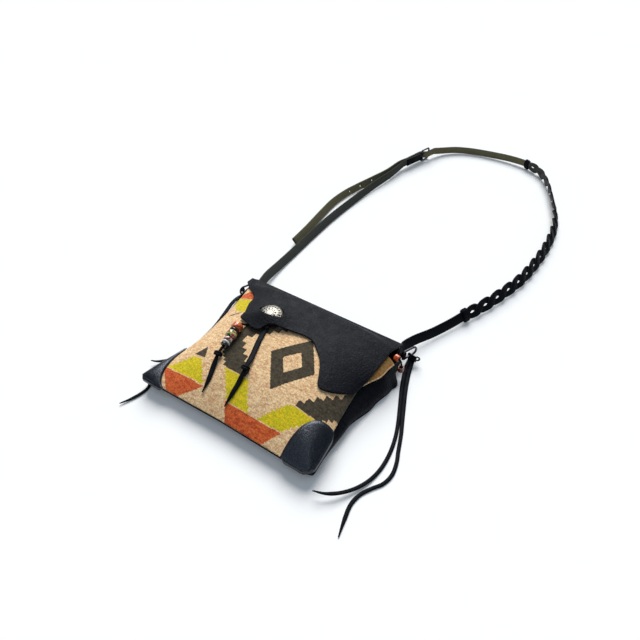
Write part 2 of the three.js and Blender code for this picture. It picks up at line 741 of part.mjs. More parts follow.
// Prong: an eye round the heel bar and a pin that passes through the strap and rests on the far bar.
const prongHeight = BUCKLE_WIRE + SEAM_GAP + PRONG_RADIUS;
function pin(radius, from, to, swing) {
  const start = atBuckle(from, prongHeight);
  const end = atBuckle(to, prongHeight);
  const length = start.distanceTo(end);
  const rod = new THREE.CylinderGeometry(radius, radius, length, 8).rotateZ(Math.PI / 2);
  rod.translate(length / 2 + from, prongHeight, 0).rotateZ(swing + BUCKLE_HEADING.angle());
  return rod.translate(BUCKLE_X, BUCKLE_Y, BUCKLE_HEIGHT);
}
const eyeRadius = BUCKLE_WIRE + BAR_CLEARANCE + PRONG_RADIUS;
const eye = new THREE.TorusGeometry(eyeRadius, PRONG_RADIUS, 5, 11);
eye.translate(BUCKLE_X, BUCKLE_Y, BUCKLE_HEIGHT);
const prong = joined([eye, pin(PRONG_RADIUS, 0, BUCKLE_REACH + 3, 0)]);
add("buckle_prong", prong, GUNMETAL, 0.35, 1);

// Braid: a slit strap whose two halves swap sides at every pitch and leave an eye between them.
const BRAID_ROUTE = [
  [91, 629, 0.8, -8],
  [116, 615, 0.8, -12],
  [140, 581, 0.8, -20],
  [161, 535, 0.8, -28],
  [178, 491, 0.8, -32],
  [186.5, 455, 0.8, -34],
  [190.4, 407, 0.8, -36],
  [189, 356, 0.8, -37],
  [183, 306, 0.8, -38],
  [172.5, 266, 0.8, -38],
  [160, 229, 0.8, -38],
  [147, 199, 0.8, -38],
].map(([x, y, lift, lean]) => {
  const reach = BRAID_SPREAD + BRAID_STRAND_WIDTH / 2;
  const half = reach * Math.cos(rad(lean)) + BRAID_STRAND_THICKNESS * Math.abs(Math.sin(rad(lean)));
  return [x, y, half + lift, lean];
});

// Adjuster strap: free tail, past the outside of the buckle strap, through the frame and on to the braid.
const OUTER = TURN + STRAP_THICKNESS + SEAM_GAP;
const INNER = -(BUCKLE_WIRE + SEAM_GAP + STRAP_THICKNESS / 2);
const TAIL_ROUTE = [
  [-123.5, 212, 0.3, 38],
  [-126.5, 254, 0.3, 38],
  [-131, 295, 0.3, 38],
  [-134.2, 337, 0.3, 38],
  [-131.4, 371, 0.3, 36],
  [-125.4, 397, 0.3, 34],
  [-116, 428, 0.4, 28],
  [-105, 466, 0.8, 18],
].map(onEdge);
[
  [-52, PLY * 3 + 1.4, 9],
  [-34, PLY * 3 + 0.6, 4],
].forEach(([t, n, lean]) => {
  const at = atBuckle(t, n);
  TAIL_ROUTE.push([at.x, at.y, at.z, lean]);
});
const farSide = atBuckle(BUCKLE_REACH + 12, INNER);
const MID_ROUTE = [
  [farSide.x, farSide.y, farSide.z, 0],
  [-59, 597, 8.4, 0],
  [-40, 616, 7, 0],
  [-12, 629, 6.4, 0],
  [22, 635, 6.8, 0],
  [58, 636.2, 8.2, -4],
  [84.6, 632.2, 9.2, -8],
];
const braidStart = new THREE.Vector3(...BRAID_ROUTE[0].slice(0, 3));
const braidSecond = new THREE.Vector3(...BRAID_ROUTE[1].slice(0, 3));
const intoBraid = braidSecond.sub(braidStart).normalize();
const midEnd = braidStart.clone().addScaledVector(intoBraid, -2 * SEAM_GAP);
MID_ROUTE.push([midEnd.x, midEnd.y, midEnd.z, -8]);
const tailStations = alongRoute(TAIL_ROUTE, 22);
const adjusterStations = [
  ...tailStations,
  station(-14, OUTER - 0.4),
  station(-4, OUTER),
  station(2, OUTER),
  station(4.5, OUTER - 0.7),
  station(6.5, OUTER - 2.4),
  station(9.5, INNER + 2.6),
  station(11.5, INNER + 0.8),
  station(14, INNER),
  station(BUCKLE_REACH + 3, INNER),
  ...alongRoute(MID_ROUTE, 13),
];
function strapHoles(stations) {
  const curve = new THREE.CatmullRomCurve3(stations.map((s) => s.point));
  const total = curve.getLength();
  const middle = stations.length / 2;
  const frames = framesOf(stations);
  const first = total * 0.54;
  return Array.from({ length: STRAP_HOLE_COUNT }, (_, k) => {
    const at = curve.getPointAt((first + k * STRAP_HOLE_PITCH) / total);
    let near = frames[Math.floor(middle)];
    frames.forEach((f) => {
      if (f.point.distanceTo(at) < near.point.distanceTo(at)) near = f;
    });
    const bore = new THREE.CylinderGeometry(STRAP_HOLE_RADIUS, STRAP_HOLE_RADIUS, 3 * STRAP_THICKNESS, 8);
    bore.applyQuaternion(new THREE.Quaternion().setFromUnitVectors(new THREE.Vector3(0, 1, 0), near.thick));
    return bore.translate(at.x, at.y, at.z);
  });
}
const prongHoles = [0, rad(PRONG_LIFT_DEG)].map((swing) =>
  pin(PRONG_RADIUS + PRONG_CLEARANCE, 3, BUCKLE_REACH - 3, swing),
);
const adjuster = cut(strapBand(adjusterStations), [...strapHoles(tailStations), ...prongHoles]);
add("adjuster_strap", adjuster, OLIVE_LEATHER, 0.7, 0);

function braid() {
  const route = new THREE.CatmullRomCurve3(BRAID_ROUTE.map((p) => new THREE.Vector3(p[0], p[1], p[2])));
  const length = route.getLength();
  const pitches = Math.round(length / BRAID_PITCH);
  const perPitch = 4;
  const count = pitches * perPitch;
  const stations = evenly(0, 1, count).map((t) => {
    const place = route.getUtoTmapping(t) * (BRAID_ROUTE.length - 1);
    const k = Math.min(Math.floor(place), BRAID_ROUTE.length - 2);
    const lean = lerp(BRAID_ROUTE[k][3], BRAID_ROUTE[k + 1][3], place - k);
    return { point: route.getPointAt(t), lean };
  });
  const frames = framesOf(stations);
  const strand = (sign) =>
    band(frames, BRAID_STRAND_WIDTH, BRAID_STRAND_THICKNESS, (k) => {
      const phase = (Math.PI * (k - perPitch / 2)) / perPitch;
      const ends = ease(Math.min(k, count - k) / (perPitch / 2));
      const spread = BRAID_SPREAD * Math.cos(phase);
      const slope = ((BRAID_SPREAD * Math.PI) / BRAID_PITCH) * Math.sin(phase) * ends;
      const lift = (BRAID_STRAND_THICKNESS / 2 - 0.2) * Math.sin(phase) * ends;
      const together = (BRAID_STRAND_WIDTH / 2 - 0.6) * Math.sign(Math.cos(phase) + 1e-9);
      return [sign * lerp(together, spread, ends), sign * lift, Math.hypot(1, slope)];
    });
  return joined([strand(1), strand(-1)]);
}

leather("braided_strap", braid());

// Right strap: from the braid down to the right corner of the bag.
const lastBraid = BRAID_ROUTE.length - 1;
const braidEnd = new THREE.Vector3(...BRAID_ROUTE[lastBraid].slice(0, 3));
const beforeEnd = new THREE.Vector3(...BRAID_ROUTE[lastBraid - 1].slice(0, 3));
const outOfBraid = braidEnd.clone().sub(beforeEnd).normalize();
const rightStart = braidEnd.clone().addScaledVector(outOfBraid, 2 * SEAM_GAP);
const RIGHT_ROUTE = [
  [138, 177, 2.6, -38],
  [125.6, 149, 2.6, -34],
  [115, 124, 4.6, -32],
  [strapRoot(1) + 0.6, SPINE_Y + 10, 6, -18],
  [strapRoot(1), SPINE_Y - 3, 6.8, -2],
  [strapRoot(1), SPINE_Y - STRAP_ROOT_DEPTH, 7, 0],
].map(onEdge);
RIGHT_ROUTE.unshift([rightStart.x, rightStart.y, rightStart.z, -38]);
const rightStations = alongRoute(RIGHT_ROUTE, 18);
leather("right_strap", strapBand(rightStations));

// Ties: short wrapped bands that cover both ends of the braid.
function tie(name, centre, along, leanDeg) {
  const [frame] = framesOf([
    { point: centre, lean: leanDeg },
    { point: centre.clone().add(along), lean: leanDeg },
  ]);
  const shape = new THREE.Shape();
  const wide = STRAP_WIDTH / 2 + TIE_SLACK + TIE_THICKNESS;
  const thick = BRAID_STRAND_THICKNESS / 2 + TIE_SLACK + TIE_THICKNESS;
  shape.absellipse(0, 0, wide * 1.08, thick * 1.25, 0, 2 * Math.PI);
  const bore = new THREE.Path();
  bore.moveTo(-wide + TIE_THICKNESS, -thick + TIE_THICKNESS);
  bore.lineTo(wide - TIE_THICKNESS, -thick + TIE_THICKNESS);
  bore.lineTo(wide - TIE_THICKNESS, thick - TIE_THICKNESS);
  bore.lineTo(-wide + TIE_THICKNESS, thick - TIE_THICKNESS);
  shape.holes.push(bore);
  const wrap = new THREE.ExtrudeGeometry(shape, { depth: TIE_LENGTH, bevelEnabled: false, curveSegments: 10 });
  wrap.translate(0, 0, -TIE_LENGTH / 2);
  wrap.applyMatrix4(new THREE.Matrix4().makeBasis(frame.wide, frame.thick, frame.wide.clone().cross(frame.thick)));
  leather(name, wrap.translate(centre.x, centre.y, centre.z));
}

tie("braid_tie_top", braidStart, intoBraid, BRAID_ROUTE[0][3]);
tie("braid_tie_bottom", braidEnd, outOfBraid, BRAID_ROUTE[lastBraid][3]);

// Side rings: a tab of leather rolled round the ring's bar and sewn between strap and gusset.
function ringTab(side) {
  const roll = RING_WIRE + BAR_CLEARANCE + TAB_THICKNESS / 2;
  const legX = tabLeg(side);
  const barX = legX + roll;
  const path = [
    [legX, RING_BAR_Y - TAB_LENGTH],
    [legX, RING_BAR_Y - TAB_LENGTH / 2],
    [legX, RING_BAR_Y - 3],
  ];
  evenly(180, -100, 14).forEach((deg) => {
    path.push([barX + roll * Math.cos(rad(deg)), RING_BAR_Y + roll * Math.sin(rad(deg))]);
  });
  const stations = path.map(([x, y]) => ({ point: new THREE.Vector3(side * x, y, RING_CENTRE_HEIGHT), lean: 0 }));
  leather(side < 0 ? "ring_tab_left" : "ring_tab_right", band(framesOf(stations), TAB_WIDTH, TAB_THICKNESS));
  return new THREE.Vector3(side * barX, RING_BAR_Y, RING_CENTRE_HEIGHT);
}

function sideRing(name, bar, headingDeg) {
  const heading = new THREE.Vector3(Math.cos(rad(headingDeg)), Math.sin(rad(headingDeg)), 0);
  const normal = new THREE.Vector3(-heading.y, heading.x, 0);
  const length = RING_LENGTH - 2 * RING_WIRE;
  const points = roundedLoop(length, RING_HEIGHT - 2 * RING_WIRE, RING_NEAR_CORNER, RING_FAR_CORNER, (p) => {
    const point = bar.clone().addScaledVector(heading, p.x);
    point.z += p.y;
    return point;
  });
  add(name, wireLoop(points, normal, RING_WIRE, 6), GUNMETAL, 0.3, 1);
  return heading;
}

const leftBar = ringTab(-1);
const rightBar = ringTab(1);
const leftHeading = sideRing("ring_left", leftBar, RING_LEFT_HEADING_DEG);
const rightHeading = sideRing("ring_right", rightBar, RING_RIGHT_HEADING_DEG);

// Lace knots: a loop of lace round the ring's lower wire with an overhand knot beside it.
function overhand() {
  return new THREE.TorusKnotGeometry(KNOT_RADIUS, KNOT_TUBE, 21, 4, 2, 3);
}

function ringKnot(name, bar, heading, along, outside) {
  const wireZ = RING_CENTRE_HEIGHT - RING_HEIGHT / 2 + RING_WIRE;
  const loopRadius = RING_WIRE + BAR_CLEARANCE + LACE_THICKNESS / 2;
  const centre = bar.clone().addScaledVector(heading, along).setZ(wireZ);
  const loop = new THREE.TorusGeometry(loopRadius, LACE_THICKNESS / 2, 4, 9);
  loop.rotateY(Math.PI / 2).rotateZ(Math.atan2(heading.y, heading.x));
  loop.translate(centre.x, centre.y, centre.z);
  const aside = new THREE.Vector3(-heading.y, heading.x, 0).multiplyScalar(outside);
  const reach = loopRadius + KNOT_RADIUS * 1.5;
  const knot = overhand().rotateY(Math.PI / 2);
  knot.rotateZ(Math.atan2(heading.y, heading.x));
  knot.translate(centre.x + aside.x * reach, centre.y + aside.y * reach, centre.z + 1);
  leather(name, joined([loop, knot]));
}

ringKnot("lace_knot_left", leftBar, leftHeading, RING_LENGTH - 9, -1);
ringKnot("lace_knot_right", rightBar, rightHeading, RING_LENGTH - 12, -1);

// Laces: oval section drawn along a hand-laid route; the side laces are given from the fold's line.
const fromFold = ([x, y, z]) => [x, SPINE_Y + y, z];
function lace(points, steps) {
  const curve = new THREE.CatmullRomCurve3(points.map((p) => new THREE.Vector3(...p)));
  const section = new THREE.Shape();
  section.absellipse(0, 0, LACE_THICKNESS / 2, LACE_WIDTH / 2, 0, 2 * Math.PI);
  const outline = new THREE.Shape(section.getPoints(8).slice(0, 8));
  return new THREE.ExtrudeGeometry(outline, { steps, extrudePath: curve, bevelEnabled: false });
}

leather(
  "lace_right_inner",
  lace(
    [
      [119.4, 4.4, 2.2],
      [122, -8.6, 2.2],
      [126.2, -23, 2.2],
      [131.6, -38, 2.2],
      [137, -51, 2.2],
      [142.8, -65, 2.2],
      [148.8, -80, 2.2],
      [154.2, -96, 2.2],
      [157.8, -112, 2.2],
      [159.4, -128, 2.2],
      [158.8, -142, 2.4],
      [155.6, -156, 3],
      [149.2, -170, 4.4],
      [140.4, -182, 6.4],
      [130, -191, 8.6],
      [119, -196, 10.6],
    ].map(fromFold),
    15,
  ),
);
leather(
  "lace_right_outer",
  lace(
    [
      [123.9, 3.2, 2.2],
      [127.6, -11.4, 2.2],
      [132.4, -27, 2.2],
      [138.2, -43, 2.2],
      [144.2, -58, 2.2],
      [151.2, -75, 2.2],
      [158.2, -92, 2.2],
      [164.4, -110, 2.2],
      [169.4, -124, 2.2],
      [171.4, -138, 2.2],
      [168.6, -150, 2.2],
      [162, -160, 2.2],
      [156, -171, 2.2],
      [153.6, -184, 2.2],
      [156, -199, 2.2],
      [160, -216, 2.2],
    ].map(fromFold),
    15,
  ),
);
leather(
  "lace_left_inner",
  lace(
    [
      [-109.8, -14, 2.2],
      [-111.4, -26, 2.2],
      [-109.6, -38, 2.2],
      [-106.8, -51, 2.2],
      [-104, -64, 2.2],
      [-101.9, -78, 2.2],
      [-101, -92, 2.2],
      [-100.8, -106, 2.2],
      [-100.8, -120, 2.2],
      [-101, -134, 2.2],
      [-102.2, -148, 2.2],
      [-104.8, -160, 2.2],
      [-108, -169, 2.2],
      [-110.2, -176, 2.2],
      [-109.8, -182, 2.2],
      [-105.6, -187, 2.2],
      [-103.4, -194, 2.2],
      [-104.4, -203, 2.4],
      [-107.8, -214, 2.8],
      [-112.4, -224, 3.4],
    ].map(fromFold),
    15,
  ),
);
leather(
  "lace_left_outer",
  lace(
    [
      [-114.6, -11.6, 2.2],
      [-117.6, -23, 2.2],
      [-117, -34, 2.2],
      [-114.2, -45.5, 2.2],
      [-111.4, -57, 2.2],
      [-108.6, -69, 2.2],
      [-106.4, -82, 2.2],
      [-105.4, -95, 2.2],
      [-105, -107, 2.2],
      [-105.2, -118, 2.2],
      [-106.2, -128, 2.2],
      [-108.6, -138, 2.2],
      [-112.4, -147, 2.4],
      [-117, -154, 3.2],
      [-122, -160, 4.8],
      [-127, -164, 7],
    ].map(fromFold),
    13,
  ),
);

// Two tails of one lace through the button's shank, given from the button; heights are above the front.
const onFront = ([dx, dy, above]) => {
  const [x, y] = [BUTTON_X + dx, BUTTON_Y + dy];
  return [x, y, frontHeight(x, y) + above];
};
const BEADED_ROUTE = [
  [-5.2, -2.4, 1.8],
  [-6.5, -10.5, 1.8],
  [-11.1, -16.5, 1.8],
  [-14.1, -20.5, 1.7],
  [-15.9, -23.9, 1.6],
  [-18.1, -28.1, 4.8],
  [-18.9, -31.9, 7.5],
  [-18.9, -36.5, 7.6],
  [-18.7, -41.5, 7.6],
  [-18.4, -47.5, 7.6],
  [-18.1, -53.5, 7.6],
  [-17.7, -59.5, 7.6],
  [-16.9, -65.5, 6.8],
  [-15.5, -70.5, 5.6],
  [-13.5, -76.5, 4.9],
  [-10.7, -83.5, 3.6],
  [-7.9, -91.5, 1.9],
  [-5.1, -99.5, 1.7],
  [-3.1, -107.5, 1.7],
  [-1.9, -116.5, 1.8],
].map(onFront);
const PLAIN_ROUTE = [
  [5.2, -2.4, 1.6],
  [8.9, -9.5, 1.6],
  [10.7, -15.5, 1.6],
  [11.9, -22.5, 1.8],
  [13.3, -29.5, 1.8],
  [15.1, -37.5, 1.8],
  [17.1, -45.5, 1.8],
  [19.3, -53.5, 1.8],
  [21.5, -61.5, 2.6],
  [23.7, -69.5, 4.2],
  [25.6, -76.5, 4.9],
  [26.9, -83.5, 3.8],
  [27.9, -91.5, 1.9],
  [28.5, -100.5, 1.7],
  [28.9, -109.5, 1.7],
  [29.1, -117.5, 1.8],
].map(onFront);
leather("thong_beaded", lace(BEADED_ROUTE, 14));
leather("thong_plain", lace(PLAIN_ROUTE, 11));

// Place on a lace at the point nearest to a given y.
function placeOn(route, y) {
  const curve = new THREE.CatmullRomCurve3(route.map((p) => new THREE.Vector3(...p)));
  let low = 0;
  let high = 1;
  for (let k = 0; k < 30; k += 1) {
    const middle = (low + high) / 2;
    if (curve.getPointAt(middle).y > y) low = middle;
    else high = middle;
  }
  return { point: curve.getPointAt(low), along: curve.getTangentAt(low), length: low * curve.getLength(), curve };
}

function turnedTo(geometry, along) {
  const turnTo = new THREE.Quaternion().setFromUnitVectors(new THREE.Vector3(0, 1, 0), along);
  return geometry.applyQuaternion(turnTo);
}

// Knot on a tail: two crossed turns of lace drawn tight round it.
function tailKnot(name, route, y) {
  const { point, along } = placeOn(route, y);
  const turns = [-1, 1].map((way) => {
    const coil = new THREE.TorusGeometry(TAIL_KNOT_RADIUS, TAIL_KNOT_TUBE, 4, 9).rotateX(Math.PI / 2);
    coil.rotateX(way * 0.32).translate(0, way * 0.5, 0);
    return coil.scale(1, 1, TAIL_KNOT_FLATNESS);
  });
  const knot = turnedTo(joined(turns), along);
  leather(name, knot.translate(point.x, point.y, point.z));
}

tailKnot("thong_knot_beaded", BEADED_ROUTE, BUTTON_Y - BEADED_KNOT_DROP);
tailKnot("thong_knot_plain", PLAIN_ROUTE, BUTTON_Y - PLAIN_KNOT_DROP);

// Bead: barrel with rounded shoulders and a bore for the lace.
function bead(radius, length) {
  const shoulder = Math.min(length / 2, (radius - BEAD_BORE) * 0.55);
  const half = length / 2;
  const profile = [new THREE.Vector2(BEAD_BORE, -half), new THREE.Vector2(radius - shoulder, -half)];
  [45, 90].forEach((deg) => {
    const out = radius - shoulder + shoulder * Math.sin(rad(deg));
    profile.push(new THREE.Vector2(out, -half + shoulder * (1 - Math.cos(rad(deg)))));
  });
  [90, 45].forEach((deg) => {
    const out = radius - shoulder + shoulder * Math.sin(rad(deg));
    profile.push(new THREE.Vector2(out, half - shoulder * (1 - Math.cos(rad(deg)))));
  });
  profile.push(new THREE.Vector2(radius - shoulder, half), new THREE.Vector2(BEAD_BORE, half), profile[0].clone());
  return new THREE.LatheGeometry(profile, 8);
}

const FRONT_BEADS = [
  ["bead_amber", 6.6, 9.4, 0xb5602c],
  ["bead_black", 5.4, 2.8, 0x1a1a1c],
  ["bead_green", 6.4, 9.6, 0x6f8a35],
  ["bead_rose", 5.8, 5.4, 0xc9a394],
  ["bead_white", 5, 2.4, 0xe6e2d8],
  ["bead_dark", 4.6, 3.4, 0x202024],
];
const firstBead = placeOn(BEADED_ROUTE, BUTTON_Y - FIRST_BEAD_DROP);
let along = firstBead.length;
FRONT_BEADS.forEach(([name, radius, length, color]) => {
  const middle = (along + length / 2) / firstBead.curve.getLength();
  const point = firstBead.curve.getPointAt(middle);
  const shape = turnedTo(bead(radius, length), firstBead.curve.getTangentAt(middle));
  add(name, shape.translate(point.x, point.y, point.z), color, 0.25, 0);
  along += length + BEAD_GAP;
});

// Short lace over the top edge of the right gusset, with a bead on each side of it.
const CORNER_ROUTE = [
  [108.4, -22.8, 26.6],
  [112.4, -23.2, 27],
  [116.6, -23.6, 26.6],
  [119.8, -24, 22.6],
  [120.6, -24.3, 16],
  [120.6, -24.6, 9],
].map(fromFold);
leather("corner_lace", lace(CORNER_ROUTE, 8));
[1, 4].forEach((k) => {
  const before = new THREE.Vector3(...CORNER_ROUTE[k - 1]);
  const after = new THREE.Vector3(...CORNER_ROUTE[k + 1]);
  const shape = turnedTo(bead(SMALL_BEAD_RADIUS, SMALL_BEAD_LENGTH), after.sub(before).normalize());
  const name = k === 1 ? "corner_bead_upper" : "corner_bead_lower";
  add(name, shape.translate(...CORNER_ROUTE[k]), 0xb5602c, 0.25, 0);
});

export default bag;
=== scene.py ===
"""Looks of a small wool and leather shoulder bag, laid out as a Blender add-on."""
import math

import bmesh
import bpy
import numpy as np
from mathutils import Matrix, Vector


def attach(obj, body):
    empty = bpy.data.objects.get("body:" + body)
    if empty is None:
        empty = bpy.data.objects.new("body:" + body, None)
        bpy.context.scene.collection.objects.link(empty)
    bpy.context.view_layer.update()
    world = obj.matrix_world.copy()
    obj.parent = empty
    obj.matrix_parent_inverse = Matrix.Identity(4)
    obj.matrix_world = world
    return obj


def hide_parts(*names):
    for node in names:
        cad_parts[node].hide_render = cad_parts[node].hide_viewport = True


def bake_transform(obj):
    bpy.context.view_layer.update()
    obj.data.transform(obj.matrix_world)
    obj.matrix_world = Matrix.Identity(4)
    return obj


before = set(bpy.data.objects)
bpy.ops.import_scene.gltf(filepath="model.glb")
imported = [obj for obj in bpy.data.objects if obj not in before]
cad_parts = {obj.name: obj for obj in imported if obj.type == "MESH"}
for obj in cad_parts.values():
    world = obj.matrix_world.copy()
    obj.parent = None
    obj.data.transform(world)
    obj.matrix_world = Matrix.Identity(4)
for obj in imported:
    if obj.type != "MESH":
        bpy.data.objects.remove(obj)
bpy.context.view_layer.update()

bl_info = {
    "name": "Shoulder Bag",
    "version": (1, 0, 0),
    "blender": (4, 5, 0),
    "location": "View3D > Sidebar > Bag",
    "description": "Builds a wool and leather shoulder bag over its packed model",
    "category": "Add Mesh",
}

MM = 0.001
UP = np.array([0.0, 0.0, 1.0])

# Pouch sizes in millimetres, as in the solids; -1 is the left side and 1 the right
SIDES = ((-1, "left"), (1, "right"))
BAG_WIDTH = 220.0
BAG_HEIGHT = 190.0
BOTTOM_Y = -95.0
SPINE_Y = 96.0
TOP_EDGE_Y = 78.0
SEAM_HEIGHT = 16.0
SPINE_HEIGHT = 24.0
CROWN = 19.0
CROWN_RISES_BY = 0.45
CROWN_FALL = 0.45
WAIST_HALF = {-1: 93.0, 1: 100.5}
WAIST_PLACE = {-1: 0.5, 1: 0.68}
WAIST_CURVE = {-1: 2.0, 1: 1.2}
MOUTH_EDGE = {-1: 22.0, 1: 27.0}
MOUTH_HALF = {-1: 100.0, 1: 117.0}
MOUTH_SAG = 15.0
MOUTH_SWELL = 4.0
MOUTH_SWELL_AT = 0.86
MOUTH_SWELL_SPREAD = 0.08
BOTTOM_LIFT = 4.0
BOTTOM_LIFT_FADE = 120.0
BOTTOM_ROLL = 25.0
SPINE_ROLL = 13.0
SPINE_HALF = {-1: 96.0, 1: 107.0}
SIDE_FLARE = {-1: 104.4, 1: 115.4}
BACK_FLARE = {-1: 0.816, 1: 0.895}
BACK_OUTLINE = {
    -1: [(0.17, 1.5), (0.395, 3.0), (0.605, 3.5)],
    1: [(0.17, 6.8), (0.395, 7.8), (0.605, 17.0), (0.763, 22.5), (0.805, 25.2)],
}
WOOL = 2.2
BACK_LEATHER = 2.0
BACK_BEVEL = 0.5
GUSSET_LEATHER = 1.8
GUSSET_BEVEL = 0.4
GUSSET_BULGE = 5.0
GUSSET_BULGE_IN = 60.0
GUSSET_BULGE_OUT = 34.0
GUSSET_BULGE_BELOW_TAB = 40.0
GUSSET_FLARE = 22.0
GUSSET_FLARE_BELOW_TAB = 26.0
GUSSET_TOP = 19.0
GUSSET_START = BOTTOM_Y + 10
GUSSET_END = SPINE_Y - SPINE_ROLL + 1
SEAM_GAP = 0.3
SEAM_INSET = 0.5
BACK_SEAM_HEIGHT = SEAM_HEIGHT - SEAM_GAP - WOOL
TIP_RADIUS = {-1: 4.0, 1: 7.0}
TIP_RADIUS_OF_WOOL = 4.0
TIP_REACH = 1.35
RIM_PALE_ABOVE = 12.0
RIM_PALE_WIDTH = 1.0
# Painted shade on the wool's cut rim below RIM_PALE_ABOVE: the share of the tan that it keeps
RIM_PAINTED_SHADE = 0.4

# Leather corners of the front, in millimetres and shares of their reach
PATCH_LEATHER = 1.6
PATCH_GAP = 0.6
PATCH_ALONG_SEAM = 34.0
PATCH_UP_SIDE = 57.0
PATCH_CURVE = {-1: 3.0, 1: 0.8}
PATCH_PUFF = 2.4
PATCH_STEPS = 60
PATCH_SKIVED_FROM = 0.94
PATCH_SKIVED = 0.6
PATCH_ROLL = 2.0
PATCH_ROLL_SHARE = 0.6
PATCH_ROLL_STEPS = 9
PATCH_ROLL_TURNS_BY = 0.3
PATCH_ROLL_FADES_OVER = 0.2
PATCH_DROP = 3.2
PATCH_UNDERSIDE_ROLL = 0.3

# Flap, button and slit
FLAP_LEATHER = 2.0
FLAP_CLEARANCE = 1.2
FLAP_EDGE_ROUND = 0.94
TONGUE_RISE = 6.0
TONGUE_HALF = 30.0
TONGUE_UP = 28.0
TONGUE_DOWN = 18.0
TONGUE_BELOW_BUTTON = 8.0
LIP_RISE = 5.2
LIP_HALF = 18.0
LIP_TALL = 13.0
EAR_PLACE = (-107.5, 96.0)
EAR_DROP = 2.2
EAR_SPREAD = 9.0
BUTTON_X = -31.5
BUTTON_Y = 37.5
BUTTON_RADIUS = 15.0
BUTTON_DOME = 4.2
BUTTON_RIM = 1.0
BUTTON_TILT = math.radians(6)
BUTTON_STAND = 4.6
BUTTON_SHIFT = -0.6
BUTTON_EYE = 0.4
BUTTON_EDGE = 0.6
BUTTON_BACK = 0.1
STAMP_DEPTH = 0.35
SHANK_RADIUS = 3.2
SLIT_CLEARANCE = 1.2
SLIT_SHIFT = -0.3
SLIT_END_ABOVE_CENTRE = 1.0
SLIT_LIP_SAG = 7.5
SLIT_CUT_HEIGHT = 60.0

# Stamps of the button: times round it, least cosine where it is sunk, inner and outer radius
STAMPS = ((20, 0.35, 9.8, 13.0), (11, 0.5, 5.8, 7.8), (0, 0.5, 4.05, 4.75), (0, 0.5, 13.9, 14.5))

# Strap and buckle
STRAP_WIDTH = 12.0
STRAP_THICKNESS = 2.4
STRAP_HOLE_RADIUS = 1.6
STRAP_HOLE_PITCH = 26.0
STRAP_HOLE_COUNT = 3
STRAP_HOLES_FROM = 0.54
STRAP_DRILL = 4.0
OFF_AXIS = (0.31, 0.17, 0.93)
BRAID_LIFT = 0.8
BRAID_PITCH = 24.0
BRAID_STRAND_WIDTH = 7.0
BRAID_STRAND_THICKNESS = 2.8
BRAID_STRAND_CORNER = 1.1
BRAID_STEPS = 16
BRAID_SPREAD = 4.9
BRAID_SPREAD_AT_CROSSING = 0.46
BRAID_END_OVERLAP = 0.6
TIE_LENGTH = 9.0
TIE_WIDTH = 17.9
TIE_HEIGHT = 9.2
TIE_TURNS = 4
TIE_GROOVE = 0.35
TIE_END_ROUND = 1.2
TIE_STEPS = 41
BUCKLE_WIRE = 1.5
BUCKLE_REACH = 21.0
BUCKLE_SIDE_GAP = 2.0
BUCKLE_CORNER = 4.0
BUCKLE_PLACE = (-80.4, 550.0)
BUCKLE_HEADING = np.array([0.26, 0.966]) / math.hypot(0.26, 0.966)
BUCKLE_HEIGHT = STRAP_WIDTH / 2 + BUCKLE_SIDE_GAP + 2 * BUCKLE_WIRE + SEAM_GAP
ALONG_BUCKLE = np.array([*BUCKLE_HEADING, 0.0])
ACROSS_BUCKLE = np.array([-BUCKLE_HEADING[1], BUCKLE_HEADING[0], 0.0])
FOLD_BACK = 38.0
BAR_CLEARANCE = 0.3
PRONG_RADIUS = 0.9
PRONG_TIP = 0.75
PRONG_CLEARANCE = 0.8
PRONG_LIFT = math.radians(8)
PRONG_PIN = BUCKLE_WIRE + SEAM_GAP + PRONG_RADIUS
PRONG_DRILL = 7.0
PRONG_STEPS = 20
PRONG_SLOT = 11.0
PRONG_SLOT_AT = 0.2
PRONG_HOLE_AT = 10.0
PRONG_SLOT_HALF_HEIGHT = 1.5

# Rings, tabs, laces and beads
RING_WIRE = 1.3
RING_LENGTH = 21.0
RING_HEIGHT = 15.0
RING_CENTRE_HEIGHT = 13.5
RING_NEAR_CORNER = 1.4
RING_FAR_CORNER = 5.8
RING_BAR_Y = 92.0
RING_HEADING = {-1: math.radians(246), 1: math.radians(65)}
TAB_WIDTH = 9.0
TAB_THICKNESS = 1.6
TAB_LENGTH = 22.0
TAB_LEG = {-1: 101.5, 1: 112.5}
TAB_FOOT_Y = RING_BAR_Y - TAB_LENGTH
LACE_THICKNESS = 2.2
KNOT_RADIUS = 2.4
KNOT_STEPS = 120
KNOT_LACE = (2.4, 2.2)
KNOT_FROM_RING_END = {-1: 9.0, 1: 10.4}
BOW_RADIUS = 2.7
BOW_NARROW = 0.75
BOW_LEAN = -0.5
BOW_AHEAD = 3.2
BOW_ASIDE = 2.4
FLAT_LACE = 1.9
FLAT_LEAN = 90.0
LACE_SINK = -1.2
LACE_LOW = 2.2
LACE_WIDTH = 3.7
LACE_FLATTENED = 0.6
LACE_FLATTENED_TO = 0.5
LACE_FLATTENED_FADE = 0.3
LACE_POINT_AT = 1.02
LACE_POINT = 0.1
LACE_TIP = 0.4
CORNER_LACE_WIDTH = 2.6
CORNER_LACE_THICKNESS = 1.8
TAIL_KNOT_RADIUS = 3.5
TAIL_KNOT_TUBE = 1.4
TAIL_KNOT_FLAT = 0.74
TAIL_KNOT_TIP = 0.3
TAIL_KNOT_APART = 0.7
BEAD_BORE = 2.3
BEAD_SHOULDER = 0.55
BEAD_GAP = 0.5
FIRST_BEAD_Y = 5.0
CORNER_BEAD = (3.7, 5.6)

# Camera, found from the outline of the bag
CAMERA_TARGET = (-4.4, 99.9, 0.0)
CAMERA_AZIMUTH = math.radians(33.41)
CAMERA_ELEVATION = math.radians(44.27)
CAMERA_DISTANCE = 648.3
CAMERA_LENS = 28.92

